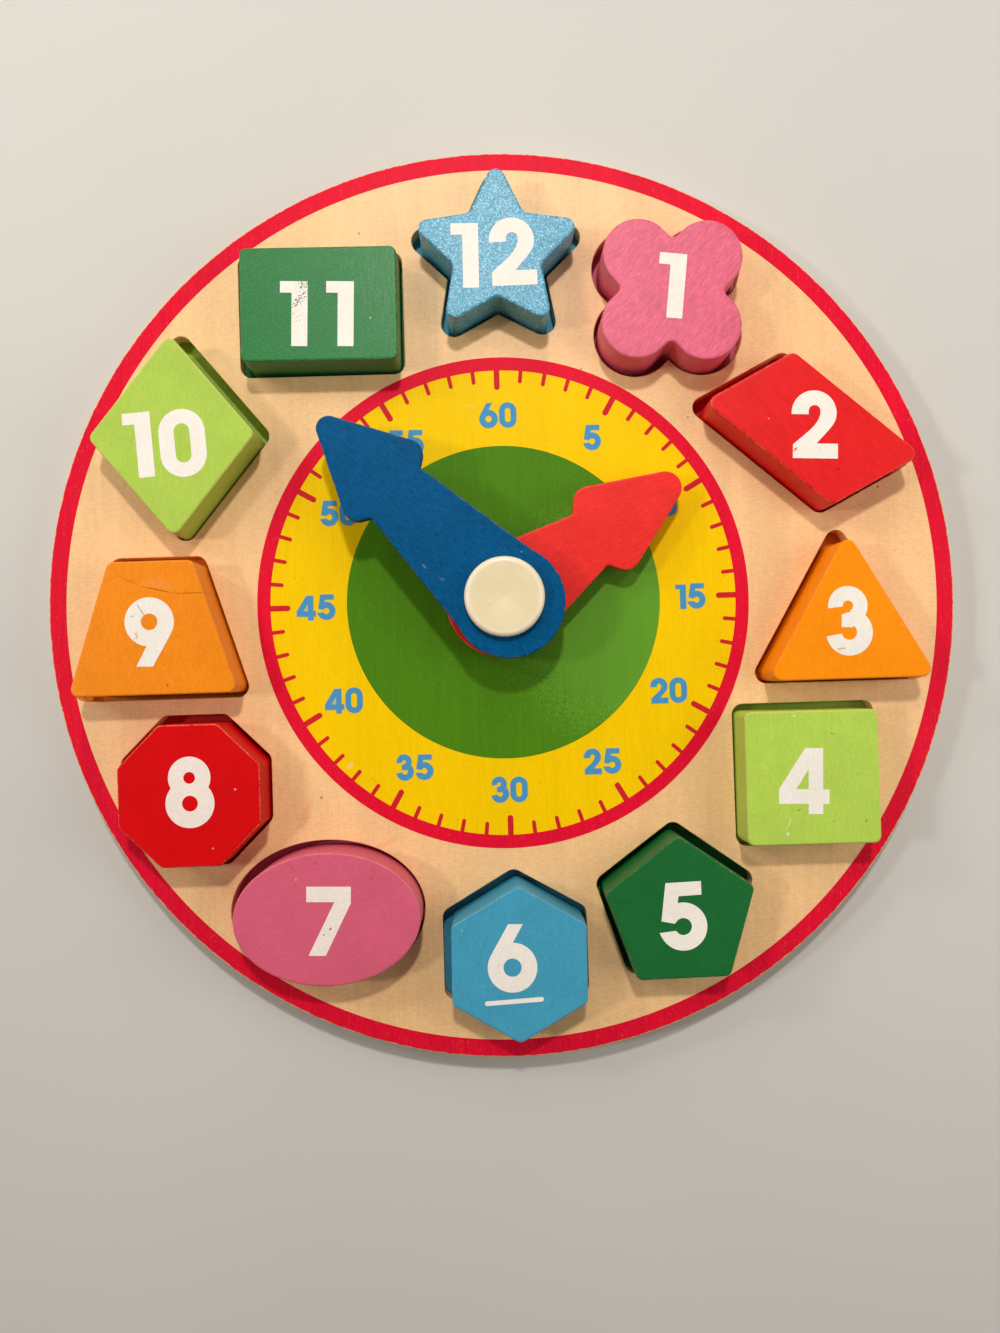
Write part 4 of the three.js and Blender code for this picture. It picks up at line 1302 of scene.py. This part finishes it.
class CLOCK_OT_pivot(bpy.types.Operator):
    """Makes the front button, the rear socket and the two washers, which clear the hands by a hair"""
    bl_idname = "clock.pivot"
    bl_label = "Pivot"

    def execute(self, context):
        size, tint = sizes(), colours()
        low, high = box_of("centre_button")
        outer, top, ease, thickness, stem = high[0], high[2], 1.2, 2.4, 2.6
        foot, inner = top - thickness, outer - 1.35
        shares = np.linspace(1, 0, 18)
        depths = size["cap_dish"] * (1 - shares) ** 1.5
        profile = [
            (0, low[2], 0), (stem - 0.1, low[2], 0), (stem, low[2] + 0.1, 0), (stem, foot, 0),
            (stem + 0.1, foot, 0), (outer - 0.3, foot, 0), (outer - 0.1, foot + 0.05, 0),
            (outer, foot + 0.25, 0),
            *arris(outer - ease, top - ease, ease, 0, np.pi / 2, 9),
            *[(inner * share, top - depth, 0.0) for share, depth in zip(shares, depths)],
        ]
        stain = mixed(tint["cream"], tint["wood_dark"], 0.25)
        spots = [((-6.3, -2.5), 0.8, 3.4, 2.2, 0.4, mixed(tint["cream"], tint["dial_yellow"], 0.3), 0.2),
                 ((-3.8, -1.9), 0.4, 1.2, 0.7, 0.5, stain), ((0.25, 6.1), 1.2, 1.6, 0.5, 0.4, stain),
                 ((3.9, -2.1), 0.2, 1.1, 0.5, 0.4, stain)]
        cream = plastic("Cream plastic", tint["cream"], stain, 0.24, inner, spots)
        make_piece("cream_button", turned(profile), cream, "board", "centre_button")

        low, high = box_of("rear_socket")
        flange, ease, tube, bore = high[0], 0.5, 4.2, 2.9
        profile = [
            (0, low[2], 0), (flange - 0.7, low[2], 0),
            *arris(flange - ease, low[2] + ease, ease, -np.pi / 2, 0, 7),
            *crisp(flange, RECESS_DEPTH), (tube, RECESS_DEPTH, 0), (tube, high[2], 0), (bore, high[2], 0),
            (bore, RECESS_DEPTH, 0), (0, RECESS_DEPTH, 0),
        ]
        make_piece("cream_rear_socket", turned(profile, 96), cream, "board", "rear_socket")

        nylon = plastic("Washer nylon", tint["nylon"], tint["wood_dark"], 0.45)
        bevel = 0.06
        for name in ("lower_washer", "upper_washer"):
            low, high = box_of(name)
            outer, bore, foot, top = high[0], BORE_RADIUS + 0.03, low[2] + 0.02, high[2] - 0.02
            ring = [(bore, foot, 0), (outer - bevel, foot, 0), (outer, foot + bevel, 0),
                    (outer, top - bevel, 0), (outer - bevel, top, 0), (bore, top, 0)]
            make_piece(f"nylon_{name}", turned(ring, 96, True), nylon, "board", name)
        return {"FINISHED"}


# Each lamp: its place in metres, the side of its square, and the setting that holds its power
LAMPS = {
    "Main lamp": ((0.005, 0.395, 0.69), 0.05, "main_power"),
    "Left lamp": ((-0.616, 0.03, 0.604), 0.08, "left_power"),
    "Corner lamp": ((-0.99, 0.54, 0.7), 0.12, "corner_power"),
    "Top softbox": ((0.0, 0.42, 0.32), 0.3, "top_power"),
    "Right softbox": ((0.42, -0.02, 0.3), 0.3, "right_power"),
    "Upper left softbox": ((-0.35, 0.3, 0.3), 0.25, "upper_left_power"),
}
LAMP_TINT = (1.0, 0.95, 0.88)
AMBIENT_TINT = (1.0, 0.9, 0.78, 1.0)

# The camera: its place in metres, its turns in degrees in the order that they are made, and its
# lens on a sensor of 36 mm
CAMERA_PLACE = (-0.00440, -0.02109, 0.26757)
CAMERA_TURNS = ((-0.977, "X"), (0.618, "Y"), (1.8, "Z"))
CAMERA_LENS, CAMERA_SENSOR = 27.007, 36.0


def area_light(name, place, side, power):
    """A square light that faces the middle of the clock."""
    lamp = bpy.data.lights.new(name, "AREA")
    lamp.energy, lamp.size, lamp.color = power, side, LAMP_TINT
    light = bpy.data.objects.new(name, lamp)
    light.location = place
    light.rotation_euler = (-Vector(place)).to_track_quat("-Z", "Y").to_euler()
    bpy.context.scene.collection.objects.link(light)


class CLOCK_OT_stage(bpy.types.Operator):
    """Sets the pale floor, the soft lights and the camera"""
    bl_idname = "clock.stage"
    bl_label = "Stage"

    def execute(self, context):
        scene = context.scene
        stage = scene.clock_stage
        material, tree, shader, place = new_material("Pale floor", 0.85)
        cloud = noise(tree, place, 4.0, scale=6.0)
        fill(tree, shader, {"Base Color": toned(tree, cloud, 0.3, 0.7, tuple(stage.floor), 0.98, 1.02)})
        radius, bottom, top = 3000.0, -3.0, -0.05
        new_object("floor", film(0, radius, bottom, top), material, smooth=False)

        world = bpy.data.worlds.new("Studio")
        scene.world = world
        world.use_nodes = True
        light = {"Color": AMBIENT_TINT, "Strength": stage.ambient}
        fill(world.node_tree, world.node_tree.nodes["Background"], light)
        for name, (place, side, setting) in LAMPS.items():
            area_light(name, place, side, getattr(stage, setting))

        camera = bpy.data.objects.new("Camera", bpy.data.cameras.new("Camera"))
        camera.data.sensor_width, camera.data.lens = CAMERA_SENSOR, CAMERA_LENS
        camera.data.clip_start, camera.data.clip_end = 0.01, 20.0
        turns = [Matrix.Rotation(math.radians(angle), 3, axis) for angle, axis in CAMERA_TURNS]
        turn = (turns[0] @ turns[1] @ turns[2]).transposed().to_4x4()
        camera.matrix_world = Matrix.Translation(CAMERA_PLACE) @ turn
        scene.collection.objects.link(camera)
        scene.camera = camera
        scene.view_settings.view_transform = "Standard"
        return {"FINISHED"}


OPERATORS = (CLOCK_OT_stage, CLOCK_OT_boards, CLOCK_OT_printing, CLOCK_OT_blocks, CLOCK_OT_block_numerals,
             CLOCK_OT_hands, CLOCK_OT_pivot)


class CLOCK_PT_panel(bpy.types.Panel):
    """Lists the clock's settings and its makers"""
    bl_label = "Shape sorting clock"
    bl_idname = "CLOCK_PT_panel"
    bl_space_type = "VIEW_3D"
    bl_region_type = "UI"
    bl_category = "Clock"

    def draw(self, context):
        layout = self.layout
        for operator in OPERATORS:
            layout.operator(operator.bl_idname)
        for group in (context.scene.clock_sizes, context.scene.clock_colours, context.scene.clock_stage):
            box = layout.box()
            for key in type(group).__annotations__:
                box.prop(group, key)


CLASSES = (ClockSizes, ClockColours, ClockStage, *OPERATORS, CLOCK_PT_panel)


def register():
    """Adds the clock's settings, makers and panel."""
    for item in CLASSES:
        bpy.utils.register_class(item)
    bpy.types.Scene.clock_sizes = bpy.props.PointerProperty(type=ClockSizes)
    bpy.types.Scene.clock_colours = bpy.props.PointerProperty(type=ClockColours)
    bpy.types.Scene.clock_stage = bpy.props.PointerProperty(type=ClockStage)


def unregister():
    """Takes them away again."""
    del bpy.types.Scene.clock_stage
    del bpy.types.Scene.clock_colours
    del bpy.types.Scene.clock_sizes
    for item in reversed(CLASSES):
        bpy.utils.unregister_class(item)


def main():
    """Makes the whole clock."""
    register()
    for operator in OPERATORS:
        group, name = operator.bl_idname.split(".")
        getattr(getattr(bpy.ops, group), name)()


if __name__ == "__main__":
    main()
